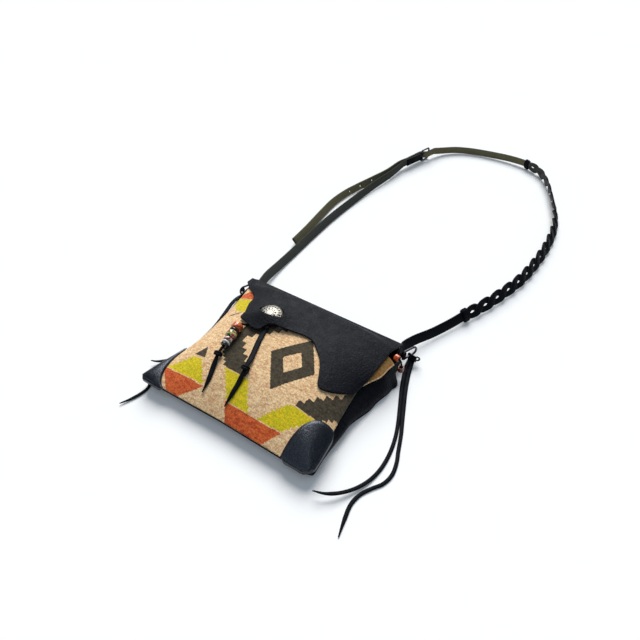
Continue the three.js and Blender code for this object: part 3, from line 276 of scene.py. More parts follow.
# Suns: name, strength, angle across, colour and where it stands
SUNS = (
    ("key", 3.5, 42, (1.0, 0.985, 0.96), (-0.4, 0.67, 0.75)),
    ("top", 0.4, 60, (0.86, 0.93, 1.0), (0.1, -0.37, 0.92)),
)
FLOOR_HALF = 6.0

# Points of the curves and meshes
CURVE_STEPS = 400
LACE_STEPS = 160
CORNER_LACE_STEPS = 60
EDGE_CURVE_STEPS = 700
EDGE_STEPS = 260
ROLL_STEPS = 16
BACK_ROWS = 40
BACK_WALL_ROWS = 6
BACK_COLUMNS = 60
GUSSET_ROWS = 120
GUSSET_COLUMNS = 24
SLIT_ARC_STEPS = 40
SLIT_LIP_STEPS = 26
BUTTON_ROWS = 36
BUTTON_AROUND = 144
BEAD_AROUND = 32
BEAD_SHOULDER_STEPS = 7
LOOP_AROUND = 40
LOOP_SIDES = 12

# Rows of the flap as shares of the way from its cut edge to the spine, close together at the edge
FLAP_ROWS = np.concatenate([[0, 0.002, 0.006, 0.012], np.linspace(0.02, 1, 58)])

# Cut edge of the flap from its left end to its right one: x and y
FLAP_EDGE = [
    (-107.5, 86), (-94.5, 75), (-85, 69), (-76.8, 61.6), (-72.8, 54.6), (-71.4, 46.4), (-67, 36.6),
    (-63, 28.6), (-62.2, 19.8), (-52.6, 15.8), (-43.6, 12), (-37, 10.2), (-31, 9.9), (-27.4, 11.6),
    (-24.6, 18), (-18, 24), (-8, 27), (6, 31), (20, 33.6), (31, 31.8), (41, 24), (49.4, 16.6), (56, 7.6),
    (61.6, -2.6), (67, -13), (71, -15.6), (78, -14), (86, -9.6), (93.5, -3), (99, 4), (101.6, 13),
    (104, 27), (105.4, 43), (106.2, 57), (107, 71), (108, 81), (109.2, 89), (111.2, 94.6),
]

# Routes of the side laces: x, y and, where it isn't LACE_LOW, height of the middle
LACE_ROUTES = {
    "lace_right_inner": [
        (120.4, 100.6, 5.6), (122, 87.4, 3), (126.2, 73), (131.6, 58), (137, 45), (142.8, 31), (148.8, 16),
        (154.2, 0), (157.8, -16), (159.4, -32), (158.8, -46, 2.4), (155.6, -60, 3), (149.2, -74, 4.4),
        (140.4, -86, 6.4), (130, -95, 8.6), (119, -100, 10.6),
    ],
    "lace_right_outer": [
        (124.4, 99.4, 5.4), (127.6, 84.6, 2.8), (132.4, 69), (138.2, 53), (144.2, 38), (151.2, 21),
        (158.2, 4), (164.4, -14), (169.4, -28), (171.4, -42), (168.6, -54), (162, -64), (156, -75),
        (153.6, -88), (156, -103), (160, -120),
    ],
    "lace_left_inner": [
        (-109.8, 82), (-111.4, 70), (-109.6, 58), (-106.8, 45), (-104, 32), (-101.9, 18), (-101, 4),
        (-100.8, -10), (-100.8, -24), (-101, -38), (-102.2, -52), (-104.8, -64), (-108, -73), (-110.2, -80),
        (-109.8, -86), (-105.6, -91), (-103.4, -98), (-104.4, -107, 2.4), (-107.8, -118, 2.8),
        (-112.4, -128, 3.4),
    ],
    "lace_left_outer": [
        (-114.6, 84.4), (-117.6, 73), (-117, 62), (-114.2, 50.5), (-111.4, 39), (-108.6, 27), (-106.4, 14),
        (-105.4, 1), (-105, -11), (-105.2, -22), (-106.2, -32), (-108.6, -42), (-112.4, -51, 2.4),
        (-117, -58, 3.2), (-122, -64, 4.8), (-127, -68, 7),
    ],
}

# Routes of the button's two tails: x, y and height above the front panel
THONG_ROUTES = {
    "thong_beaded": [
        (-36.7, 35.1, 1.8), (-38, 27, 1.8), (-42.6, 21, 1.8), (-45.6, 17, 1.7), (-47.4, 13.6, 1.6),
        (-49.6, 9.4, 4.8), (-50.2, 5.6, 7.5), (-50, 1, 7.5), (-49.4, -4, 7.4), (-48.2, -10, 7.2),
        (-46.9, -16, 6.8), (-46, -22, 6.3), (-45.6, -28, 5.8), (-45.2, -33, 5.4), (-44.2, -39, 4.9),
        (-42, -46, 3.6), (-39.4, -54, 1.9), (-36.6, -62, 1.7), (-34.6, -70, 1.7), (-33.4, -79, 1.8),
    ],
    "thong_plain": [
        (-26.3, 35.1, 1.6), (-25.2, 28, 1.6), (-24.2, 21.6, 1.6), (-22.8, 14.6, 1.8), (-20.9, 7.7, 1.8),
        (-18.5, -0.2, 1.8), (-15.8, -8.1, 1.8), (-13, -16, 1.8), (-10.2, -24, 2.6), (-7.8, -32, 4.2),
        (-5.9, -39, 4.9), (-4.6, -46, 3.8), (-3.6, -54, 1.9), (-3, -63, 1.7), (-2.6, -72, 1.7),
        (-2.4, -80, 1.8),
    ],
}

# Knot of each tail, its place up the bag and the lace's width above it
THONG_KNOTS = {
    "thong_beaded": ("thong_knot_beaded", -38.5, 3.4),
    "thong_plain": ("thong_knot_plain", -39, 6.2),
}

# Short lace at the right corner, from under the flap to its free end: x, y and height
CORNER_ROUTE = [
    (110.4, 74, 26.6), (114.6, 73.6, 27), (118.4, 73, 26.2), (121.2, 72.4, 21.6), (121.8, 71.9, 14.6),
    (121.6, 71.4, 9),
]

# Strap routes: x, y, lift of the lower edge and lean in degrees; MID_ROUTE has heights of the middle,
# and BRAID_ROUTE has no lifts
LEFT_ROUTE = [
    (-99.2, 66, 7, 0), (-99.3, 94, 6.8, 3), (-100.8, 104, 6.2, 20), (-105.8, 126, 4, 38),
    (-108.6, 154, 1.2, 44), (-110.5, 196, 0.3, 46), (-112.2, 245, 0.3, 44), (-112.7, 300, 0.3, 42),
    (-110, 357, 0.3, 38), (-104.5, 415, 1.4, 30), (-97, 466, 3.2, 14),
]
TAIL_ROUTE = [
    (-123.5, 212, 0.3, 38), (-126.5, 254, 0.3, 38), (-131, 295, 0.3, 38), (-134.2, 337, 0.3, 38),
    (-131.4, 371, 0.3, 36), (-125.4, 397, 0.6, 34), (-116, 428, 1.6, 27), (-105, 466, 3.1, 16),
]
MID_ROUTE = [
    (-59, 597, 8.4, 0), (-40, 616, 7, 0), (-12, 629, 6.4, 0), (22, 635, 6.8, 0), (58, 636.2, 8.2, -4),
    (84.6, 632.2, 9.2, -8),
]
BRAID_ROUTE = [
    (91, 629, -8), (116, 615, -12), (140, 581, -20), (161, 535, -28), (178, 491, -32), (186.5, 455, -34),
    (190.4, 407, -36), (189, 356, -37), (183, 306, -38), (172.5, 266, -38), (160, 229, -38),
    (147, 199, -38),
]
RIGHT_ROUTE = [
    (138, 177, 2.6, -38), (125.6, 149, 2.6, -36), (114, 124, 5.4, -38), (109, 107, 7.6, -38),
    (108.8, 98, 8, -10), (109.5, 91, 7.6, -2), (110.1, 66, 7, 0),
]

# Beads on the button's tail, from the top: radius and length
FRONT_BEADS = [
    ("bead_amber", 6.4, 8.8), ("bead_black", 5.6, 3.0), ("bead_green", 6.2, 8.8), ("bead_rose", 5.4, 4.6),
    ("bead_white", 5.0, 2.3), ("bead_dark", 4.6, 3.2),
]

# Glass of each bead: material, tones of its swirls, their size in millimetres and how they meet
BEAD_GLASS = {
    "bead_amber": ("glass_amber", "#6a240a #c8581c #ea8a44", 4, "EASE"),
    "bead_black": ("glass_black", "#141416 #1c1c1e", 4, "EASE"),
    "bead_green": ("glass_patchwork", "#a63a60 #e8d27a #108a34 #0a5a20 #d8641e #f0e6c8", 5, "CONSTANT"),
    "bead_rose": ("glass_rose", "#5a2420 #dcb0a0 #f6e8dc", 4, "CONSTANT"),
    "bead_white": ("glass_white", "#e9e6dd #f4f2ee", 4, "EASE"),
    "bead_dark": ("glass_dark", "#17191b #2b3230", 3, "EASE"),
    "corner_bead_upper": ("glass_orange", "#b43c0c #ee6a1c", 4, "EASE"),
    "corner_bead_lower": ("glass_oxblood", "#3a1208 #8a3212", 4, "EASE"),
}

# What the second ply of each yarn does to its colour: brown, black, yellow, red and rust flecks
SECOND_PLY = ((0.72, 0.55, 0.5), (0.5, 0.5, 0.5), (1.4, 1.15, 1.7), (0.66, 0.4, 0.45), (1.35, 0.5, 0.45))
PLY_SHARE = 0.38
PLY_DRIFT = 0.32
PLY_FLECK = 0.2
PLY_SEED = 7
WEAVE_CORNER = (130, 110)

# Woven pattern: middle of its diamond, its steps, and each pyramid's middle and how far it is raised
DIAMOND_X = 29.2
DIAMOND_Y = -4.0
WEAVE_STEP = 4
PYRAMIDS = ((-66.2, 0.0), (-76.0, 7.5))


def linear(code):
    """Linear RGB of an sRGB hex colour."""
    parts = [int(code[k:k + 2], 16) / 255 for k in (1, 3, 5)]
    return tuple(c / 12.92 if c <= 0.04045 else ((c + 0.055) / 1.055) ** 2.4 for c in parts)


def ease(t):
    """Smooth step from 0 to 1."""
    k = np.clip(t, 0.0, 1.0)
    return k * k * (3 - 2 * k)


def hill(a, b=0.0):
    """Round bump of height 1 at (0, 0)."""
    return np.exp(-a ** 2 - b ** 2)


def lerp(a, b, t):
    """Value between a and b."""
    return a + (b - a) * t


def unit(v):
    """Vectors scaled to length 1."""
    return v / np.linalg.norm(v, axis=-1, keepdims=True)


def knotted(knots, at):
    """Smooth values between knots given as (position, value) pairs."""
    places, values = np.array(knots, float).T
    place = np.clip(at, places[0], places[-1])
    k = np.clip(np.searchsorted(places, place, side="right") - 1, 0, len(knots) - 2)
    share = (place - places[k]) / (places[k + 1] - places[k])
    return lerp(values[k], values[k + 1], ease(share))


def catmull(points, count):
    """Centripetal Catmull-Rom curve through points, at count even steps of their index."""
    pts = np.asarray(points, float)
    last = len(pts) - 1
    padded = np.vstack([2 * pts[0] - pts[1], pts, 2 * pts[-1] - pts[-2]])
    out = []
    for place in np.linspace(0, last, count + 1):
        k = min(int(place), last - 1)
        w = place - k
        a, b, c, d = padded[k:k + 4]
        da, db, dc = (np.linalg.norm(step) ** 0.5 for step in (b - a, c - b, d - c))
        m1 = ((b - a) / da - (c - a) / (da + db) + (c - b) / db) * db
        m2 = ((c - b) / db - (d - b) / (db + dc) + (d - c) / dc) * db
        cubic = 2 * b - 2 * c + m1 + m2
        square = -3 * b + 3 * c - 2 * m1 - m2
        out.append(b + w * (m1 + w * (square + w * cubic)))
    return np.array(out)


def distances(points):
    """Distance along a line of points at each of them."""
    return np.concatenate([[0], np.cumsum(np.linalg.norm(np.diff(points, axis=0), axis=1))])


def length_of(points):
    """Length of a line of points."""
    return float(distances(points)[-1])


def sampled(points, want):
    """Points of a line at the distances wanted."""
    at = distances(points)
    return np.stack([np.interp(want, at, column) for column in points.T], axis=1)


def even(points, count):
    """The same line with count + 1 points at even distances."""
    return sampled(points, np.linspace(0, length_of(points), count + 1))


def at_length(points, distance):
    """Point and direction at a distance along a line."""
    behind, spot, ahead = sampled(points, distance + np.array([-0.5, 0, 0.5]))
    return spot, unit(ahead - behind)


def place_on(points, y):
    """Distance along a line where it first comes down to y."""
    return distances(points)[int(np.argmax(points[:, 1] <= y))]


# Shape of the pouch
def front_half_width(v, right):
    """Half width of the front at share v of its height."""
    mouth, waist, place, curve = (
        np.where(right, pair[1], pair[-1]) for pair in (MOUTH_HALF, WAIST_HALF, WAIST_PLACE, WAIST_CURVE))
    share = np.where(v < place, 1 - v / place, (v - place) / (1 - place))
    swell = np.where(right, MOUTH_SWELL, 0.0) * hill((v - MOUTH_SWELL_AT) / MOUTH_SWELL_SPREAD)
    return waist + (np.where(v < place, BAG_WIDTH / 2, mouth) - waist) * share ** curve + swell


def top_edge_y(u):
    """Height up the bag of the front's mouth edge, which sags towards the right."""
    return TOP_EDGE_Y - MOUTH_SAG * np.maximum(0, u) ** 4


def front_rise(u, v):
    """Height of the domed front over the floor."""
    edge = lerp(SEAM_HEIGHT, lerp(MOUTH_EDGE[1], MOUTH_EDGE[-1], np.maximum(0, -u) ** 3), v)
    rise = 1 - (1 - np.clip(v / CROWN_RISES_BY, 0, 1)) ** 2.2
    fall = 1 - CROWN_FALL * ease((v - 0.5) / 0.5)
    across = np.maximum(0, 1 - np.abs(u) ** 3) ** 0.8
    return edge + CROWN * rise * fall * across


def settled(y, u):
    """Place up the bag once the bottom seam runs higher from its middle to the right corner."""
    share = 1 - np.clip((y - BOTTOM_Y) / BOTTOM_LIFT_FADE, 0, 1)
    return y + BOTTOM_LIFT * np.clip(1 + u, 0, 1) * share ** 2


def front_point(u, v):
    """Point of the front: u from seam to seam, v from the bottom seam to the mouth."""
    x = u * front_half_width(v, u > 0)
    y = BOTTOM_Y + v * (top_edge_y(u) - BOTTOM_Y)
    return np.stack([x, settled(y, u), front_rise(u, v)], axis=-1)


def front_height(x, y):
    """Height of the front over a point of the plan, found in a few rounds."""
    x = np.asarray(x, float)
    y = np.asarray(y, float)
    u = x / WAIST_HALF[1]
    v = np.full_like(u, 0.5)
    flat = y
    for _ in range(12):
        flat = flat + y - settled(flat, u)
        v = np.clip((flat - BOTTOM_Y) / (top_edge_y(np.clip(u, -1, 1)) - BOTTOM_Y), 0, 1)
        u = np.clip(x / front_half_width(v, x > 0), -1, 1)
    return front_rise(u, v)


def round_tips(points, further=0.0):
    """Bag points with the two bottom corners drawn in to round tips, as a square is drawn in to a disc."""
    out = np.array(points, float)
    for side, least in TIP_RADIUS.items():
        radius = least + further
        tip = front_point(np.array(float(side)), np.array(0.0))
        p = np.clip(1 + (side * out[:, 0] - side * tip[0]) / radius, 0, TIP_REACH)
        q = np.clip(1 + (tip[1] - out[:, 1]) / radius, 0, TIP_REACH)
        out[:, 0] -= side * radius * p * (1 - np.sqrt(1 - q * q / 2))
        out[:, 1] += radius * q * (1 - np.sqrt(1 - p * p / 2))
    return out


def normal_of(surface, u, v, step=1e-3):
    """Normals of surface(u, v)."""
    across = surface(u + step, v) - surface(u - step, v)
    along = surface(u, v + step) - surface(u, v - step)
    return unit(np.cross(across, along))


def offset_grid(surface, u, v, depth):
    """Points of surface(u, v) moved along its normal."""
    return surface(u, v) + normal_of(surface, u, v) * depth


def back_half_width(y, side):
    """Half width of the back hide."""
    knots = [
        (BOTTOM_Y, BAG_WIDTH / 2),
        *[(BOTTOM_Y + up * BAG_HEIGHT, WAIST_HALF[side] + out) for up, out in BACK_OUTLINE[side]],
        (BOTTOM_Y + BACK_FLARE[side] * BAG_HEIGHT, SIDE_FLARE[side]),
        (SPINE_Y - SPINE_ROLL + 2, SIDE_FLARE[side]),
        (SPINE_Y - SPINE_ROLL / 3, SPINE_HALF[side]),
    ]
    return knotted(knots, y)


def back_height(y):
    """Height of the back hide's outside."""
    low = np.clip((BOTTOM_Y + BOTTOM_ROLL - y) / BOTTOM_ROLL, 0, 1)
    high = np.clip((y - SPINE_Y + SPINE_ROLL) / SPINE_ROLL, 0, 1)
    return BACK_SEAM_HEIGHT * (1 - np.sqrt(1 - low * low)) + SPINE_ROLL * (1 - np.sqrt(1 - high * high))


def flap_rise(x, y):
    """Height of the flap's underside: it lies on the front, climbs over the button and runs to the spine."""
    rest = front_height(x, y) + FLAP_CLEARANCE
    above = y - BUTTON_Y + TONGUE_BELOW_BUTTON
    tall = np.where(above > 0, TONGUE_UP, TONGUE_DOWN)
    tongue = TONGUE_RISE * hill((x - BUTTON_X) / TONGUE_HALF, above / tall)
    lip = LIP_RISE * hill((x - BUTTON_X) / LIP_HALF, (y - BUTTON_Y) / LIP_TALL)
    leaves = top_edge_y(np.clip(x / front_half_width(np.ones_like(x), x > 0), -1, 1)) + 2
    fall = ease((y - leaves) / (SPINE_Y - leaves))
    return lerp(rest + tongue + lip, SPINE_HEIGHT + SEAM_GAP, fall)


# Mesh building
def quads(rows, cols, close_rows=False, close_cols=False):
    """Faces over a grid of points, row after row."""
    faces = []
    for j in range(rows if close_rows else rows - 1):
        for i in range(cols if close_cols else cols - 1):
            k = (i + 1) % cols
            low = j * cols
            high = (j + 1) % rows * cols
            faces.append((low + i, low + k, high + k, high + i))
    return faces


def slab(upper, lower):
    """Closed solid between two grids with the same rows and columns; the faces of its rim come last."""
    rows, cols = upper.shape[:2]
    under = rows * cols
    faces = []
    for a, b, c, d in quads(rows, cols):
        faces += [(a, b, c, d), (under + a, under + d, under + c, under + b)]
    rim = [*range(cols - 1), *range(cols - 1, under - 1, cols)]
    rim += [*range(under - 1, under - cols, -1), *range(under - cols, 0, -cols)]
    for p, q in zip(rim, rim[1:] + rim[:1]):
        faces.append((q, p, under + p, under + q))
    return np.concatenate([upper.reshape(-1, 3), lower.reshape(-1, 3)]), faces


def tube_faces(count, sides, ring):
    """Faces of a tube of count rings, closed on itself or by two caps."""
    faces = quads(count, sides, ring, True)
    if not ring:
        faces += [tuple(range(sides)), tuple(range((count - 1) * sides, count * sides))]
    return faces


def swept(points, wide, thick, sections, ring=False):
    """Closed tube: a ring of (wide, thick) offsets at each point; one axis or ring can serve them all."""
    count = len(points)
    wide, thick = (np.broadcast_to(axis, (count, 3)) for axis in (wide, thick))
    sections = np.broadcast_to(sections, (count, *np.shape(sections)[-2:]))
    verts = points[:, None] + sections[..., :1] * wide[:, None] + sections[..., 1:] * thick[:, None]
    return verts.reshape(-1, 3), tube_faces(count, sections.shape[1], ring)


def rounded(width, thickness, corner, steps=3):
    """Ring of a rectangle with rounded corners, one quarter circle after another."""
    ring = []
    for turn, (sx, sy) in enumerate([(1, 1), (-1, 1), (-1, -1), (1, -1)]):
        for k in range(steps + 1):
            angle = math.pi / 2 * (turn + k / steps)
            x = sx * (width / 2 - corner) + corner * math.cos(angle)
            y = sy * (thickness / 2 - corner) + corner * math.sin(angle)
            ring.append((x, y))
    return np.array(ring)


def oval(width, thickness, steps=14):
    """Ring of an ellipse."""
    angle = np.linspace(0, 2 * math.pi, steps, endpoint=False)
    return np.stack([width / 2 * np.cos(angle), thickness / 2 * np.sin(angle)], axis=1)


def frames_of(points, leans):
    """Width axis and thickness axis at each point of a band that leans by some degrees."""
    before = np.vstack([points[:1], points[:-1]])
    after = np.vstack([points[1:], points[-1:]])
    along = unit(after - before)
    left = unit(np.stack([-along[:, 1], along[:, 0], np.zeros(len(points))], axis=1))
    up = np.cross(along, left)
    cos = np.cos(np.radians(leans))[:, None]
    sin = np.sin(np.radians(leans))[:, None]
    return up * cos + left * sin, left * cos - up * sin


def turned(profile, around, radius=0.0):
    """Body about Z with a bore: a ring of (out, up) points carried round at a radius."""
    angle = np.linspace(0, 2 * math.pi, around, endpoint=False)
    out = np.stack([np.cos(angle), np.sin(angle), np.zeros(around)], axis=1)
    return swept(radius * out, out, UP, profile, ring=True)


def torus(radius, tube):
    """Ring of wire in the XY plane."""
    return turned(oval(2 * tube, 2 * tube, LOOP_SIDES), LOOP_AROUND, radius)


def facing(verts, along):
    """Points turned so that Z runs along a direction."""
    turn = Vector((0, 0, 1)).rotation_difference(Vector(along)).to_matrix()
    return verts @ np.array(turn).T


def tipped(verts, angle):
    """Points turned about X."""
    cos = math.cos(angle)
    sin = math.sin(angle)
    return verts @ np.array([[1, 0, 0], [0, cos, sin], [0, -sin, cos]])


def merged(parts):
    """Several closed bodies as one list of points and faces."""
    verts = []
    faces = []
    start = 0
    for points, loops in parts:
        verts.append(points)
        faces += [tuple(i + start for i in loop) for loop in loops]
        start += len(points)
    return np.concatenate(verts), faces


def placed(name, data):
    """Adds an object to the scene."""
    made = bpy.data.objects.new(name, data)
    bpy.context.scene.collection.objects.link(made)
    return made


def add_object(name, verts, faces, smooth, bevel=0.0):
    """Adds a closed mesh with its normals outwards; sizes in millimetres."""
    mesh = bpy.data.meshes.new(name)
    mesh.from_pydata((np.asarray(verts) * MM).tolist(), [], faces)
    grid = bmesh.new()
    grid.from_mesh(mesh)
    bmesh.ops.remove_doubles(grid, verts=grid.verts, dist=1e-6)
    bmesh.ops.recalc_face_normals(grid, faces=grid.faces)
    if bevel:
        sharp = [e for e in grid.edges if len(e.link_faces) == 2 and e.calc_face_angle() > math.radians(50)]
        bmesh.ops.bevel(grid, geom=sharp, offset=bevel * MM, segments=2, profile=0.5, affect="EDGES")
    for face in grid.faces:
        face.smooth = smooth
    grid.to_mesh(mesh)
    grid.free()
    return placed(name + "_look", mesh)


def piece(name, verts, faces, *materials, bevel=0.0, body="bag", free=False):
    """Adds a smooth mesh that stands for a CAD node and, unless it is free, moves with a body."""
    made = add_object(name, verts, faces, True, bevel)
    for material in materials:
        made.data.materials.append(material)
    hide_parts(name)
    if not free:
        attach(made, body)
    return made


def cut(made, verts, faces):
    """Takes a closed body out of a piece."""
    tool = add_object("cutter", verts, faces, False)
    bore = made.modifiers.new("bore", "BOOLEAN")
    bore.object = tool
    bore.operation = "DIFFERENCE"
    bore.solver = "EXACT"
    result = bpy.data.meshes.new_from_object(made.evaluated_get(bpy.context.evaluated_depsgraph_get()))
    tall = max(v.co.z for v in made.data.vertices)
    if len(result.polygons) == 0 or max(v.co.z for v in result.vertices) > tall + 1e-6:
        raise RuntimeError("the cut in " + made.name + " failed")
    made.modifiers.remove(bore)
    spent = [tool.data, made.data]
    made.data = result
    bpy.data.objects.remove(tool)
    for mesh in spent:
        bpy.data.meshes.remove(mesh)


# Materials
def add_node(tree, kind, inputs=None, **settings):
    """Adds a node; inputs holds a value or another node's output for each of its sockets."""
    made = tree.nodes.new("ShaderNode" + kind)
    for key, value in settings.items():
        setattr(made, key, value)
    for key, value in (inputs or {}).items():
        if isinstance(value, bpy.types.NodeSocket):
            tree.links.new(value, made.inputs[key])
        else:
            made.inputs[key].default_value = value
    return made


def new_material(name):
    """A material with an empty node tree, and that tree."""
    made = bpy.data.materials.get(name) or bpy.data.materials.new(name)
    made.use_nodes = True
    made.node_tree.nodes.clear()
    return made, made.node_tree


def finish_material(tree, inputs):
    """Adds the material's shader and its output."""
    shader = add_node(tree, "BsdfPrincipled", inputs)
    add_node(tree, "OutputMaterial", {"Surface": shader.outputs["BSDF"]})


def place_in(tree):
    """Place of each point on the piece, in metres."""
    return add_node(tree, "TexCoord").outputs["Object"]


def noise(tree, size_mm, detail, roughness=0.5, distortion=0.0):
    """Noise with blobs of one size all over the piece."""
    inputs = {"Vector": place_in(tree), "Scale": 1 / (size_mm * MM), "Detail": detail, "Roughness": roughness,
              "Distortion": distortion}
    return add_node(tree, "TexNoise", inputs).outputs["Fac"]


def bumped(tree, height, strength, depth_mm, over=None, invert=False):
    """Normals of a relief, laid over those of another one where they are given."""
    inputs = {"Height": height, "Strength": strength, "Distance": depth_mm * MM}
    if over:
        inputs["Normal"] = over
    return add_node(tree, "Bump", inputs, invert=invert).outputs["Normal"]


def ranged(tree, value, start, end, low, high):
    """Takes the part of a value from start to end over to low to high."""
    inputs = {"Value": value, "From Min": start, "From Max": end, "To Min": low, "To Max": high}
    return add_node(tree, "MapRange", inputs).outputs["Result"]


def leather(name, colour, grain_mm, depth_mm, rough, shine=0.17):
    """Grained leather: pebbles break up a soft highlight, and creases 9 mm apart vary its gloss."""
    made, tree = new_material(name)
    cells = {"Vector": place_in(tree), "Scale": 1 / (grain_mm * MM), "Smoothness": 0.35}
    pebbles = add_node(tree, "TexVoronoi", cells, feature="SMOOTH_F1").outputs["Distance"]
    creases = noise(tree, 9, 4.0, 0.6)
    fine = bumped(tree, pebbles, 0.9, depth_mm, invert=True)
    finish_material(tree, {
        "Base Color": (*colour, 1), "IOR": 1.5, "Normal": bumped(tree, creases, 0.5, 0.6, fine),
        "Roughness": ranged(tree, creases, 0.3, 0.7, rough - 0.06, rough + 0.06),
        "Specular IOR Level": ranged(tree, pebbles, 0.15, 0.6, 1.3 * shine, 0.8 * shine),
        "Specular Tint": (0.78, 0.84, 1.0, 1)})
    return made


def wool_cloth(name):
    """Felted wool blanket cloth: matt, with flecks of other yarn 1.7 mm across and a slight nap."""
    made, tree = new_material(name)
    dyed = add_node(tree, "Attribute", attribute_name="weave").outputs["Color"]
    flecks = noise(tree, 1.7, 3.0, 0.65)
    scaled = {0: dyed, "Scale": ranged(tree, flecks, 0.28, 0.72, 0.62, 1.38)}
    heather = add_node(tree, "VectorMath", scaled, operation="SCALE").outputs["Vector"]
    finish_material(tree, {
        "Base Color": heather, "Roughness": 0.95, "IOR": 1.5, "Specular IOR Level": 0.2, "Sheen Weight": 0.15,
        "Normal": bumped(tree, flecks, 0.6, 0.5)})
    return made


def metal(name, colour, rough, recess=None):
    """Plated or cast metal, with a second colour in stamped recesses where one is given."""
    made, tree = new_material(name)
    base = (*colour, 1)
    if recess:
        depth = add_node(tree, "Attribute", attribute_name="recess").outputs["Fac"]
        colours = {0: depth, 6: base, 7: (*recess, 1)}
        base = add_node(tree, "Mix", colours, data_type="RGBA").outputs[2]
    finish_material(tree, {"Base Color": base, "Metallic": 1.0, "Roughness": rough})
    return made


def glass_bead(bead):
    """Opaque pressed glass: swirls of a few colours under a wet gloss."""
    name, codes, swirl_mm, blend = BEAD_GLASS[bead]
    made, tree = new_material(name)
    ramp = add_node(tree, "ValToRGB", {"Fac": noise(tree, swirl_mm, 1.0, distortion=1.2)})
    ramp.color_ramp.interpolation = blend
    tones = [linear(code) for code in codes.split()]
    stops = ramp.color_ramp.elements
    while len(stops) < len(tones):
        stops.new(0.5)
    for k, tone in enumerate(tones):
        stops[k].position = 0.3 + 0.4 * k / (len(tones) - 1)
        stops[k].color = (*tone, 1)
    finish_material(tree, {
        "Base Color": ramp.outputs["Color"], "Roughness": 0.2, "IOR": 1.52, "Coat Weight": 0.5})
    return made


class BagLooks(bpy.types.PropertyGroup):
    """Colours and sizes that a user of the bag would change."""

    tan: bpy.props.FloatVectorProperty(
        name="Tan", description="Ground colour of the wool", subtype="COLOR", default=linear("#f0cf9f"),
        min=0, max=1)
    dark: bpy.props.FloatVectorProperty(
        name="Dark", description="Dark yarn of the wool", subtype="COLOR", default=linear("#4e4536"),
        min=0, max=1)
    lime: bpy.props.FloatVectorProperty(
        name="Lime", description="Lime yarn of the wool", subtype="COLOR", default=linear("#c6ba1a"),
        min=0, max=1)
    rust: bpy.props.FloatVectorProperty(
        name="Rust", description="Rust yarn of the wool", subtype="COLOR", default=linear("#dc6a33"),
        min=0, max=1)
    # Olive-brown of the mouth's right corner: the pattern's yarns mixed and darkened with painted shade
    reverse: bpy.props.FloatVectorProperty(
        name="Reverse", description="Mixed yarns at the turned corner of the mouth", subtype="COLOR",
        default=linear("#86713f"), min=0, max=1)
    hide: bpy.props.FloatVectorProperty(
        name="Leather", description="Grain side of the leather", subtype="COLOR", default=linear("#07080d"),
        min=0, max=1)
    flesh: bpy.props.FloatVectorProperty(
        name="Flesh side", description="Flesh side of the strap leather", subtype="COLOR",
        default=linear("#6a654c"), min=0, max=1)
    weave_cell: bpy.props.FloatProperty(
        name="Weave cell", description="Size of one step of the woven pattern", default=0.00095, min=0.0006,
        max=0.004, unit="LENGTH", precision=5)
    grain: bpy.props.FloatProperty(
        name="Grain", description="Size of the leather's pebbles", default=0.002, min=0.0005, max=0.006,
        unit="LENGTH", precision=5)


def hide_material(looks):
    """Pebbled cowhide: milled so that small round pebbles stand up and scatter the light."""
    return leather("milled_cowhide_black", looks.hide, looks.grain / MM, 0.4, 0.6)


def patch_material(looks):
    """The same cowhide pulled tight over a corner and rubbed there: flatter pebbles with a brighter shine."""
    return leather("rubbed_cowhide_black", looks.hide, 0.7 * looks.grain / MM, 0.18, 0.36, 0.74)


def lace_material(looks):
    """Oiled latigo lace: finer and flatter than the hide, with a low even sheen."""
    return leather("oiled_latigo_black", looks.hide, 0.8, 0.08, 0.6, 0.12)


def flesh_material(looks):
    """Flesh side of veg-tanned strap: matt, fibrous, olive brown."""
    return leather("strap_flesh_side", looks.flesh, 0.7, 0.15, 0.75)


def dark_flesh_material():
    """Flesh side of a strap dyed right through: matt, fibrous, dark grey."""
    return leather("strap_flesh_side_dark", linear("#3d3f39"), 0.7, 0.15, 0.7)


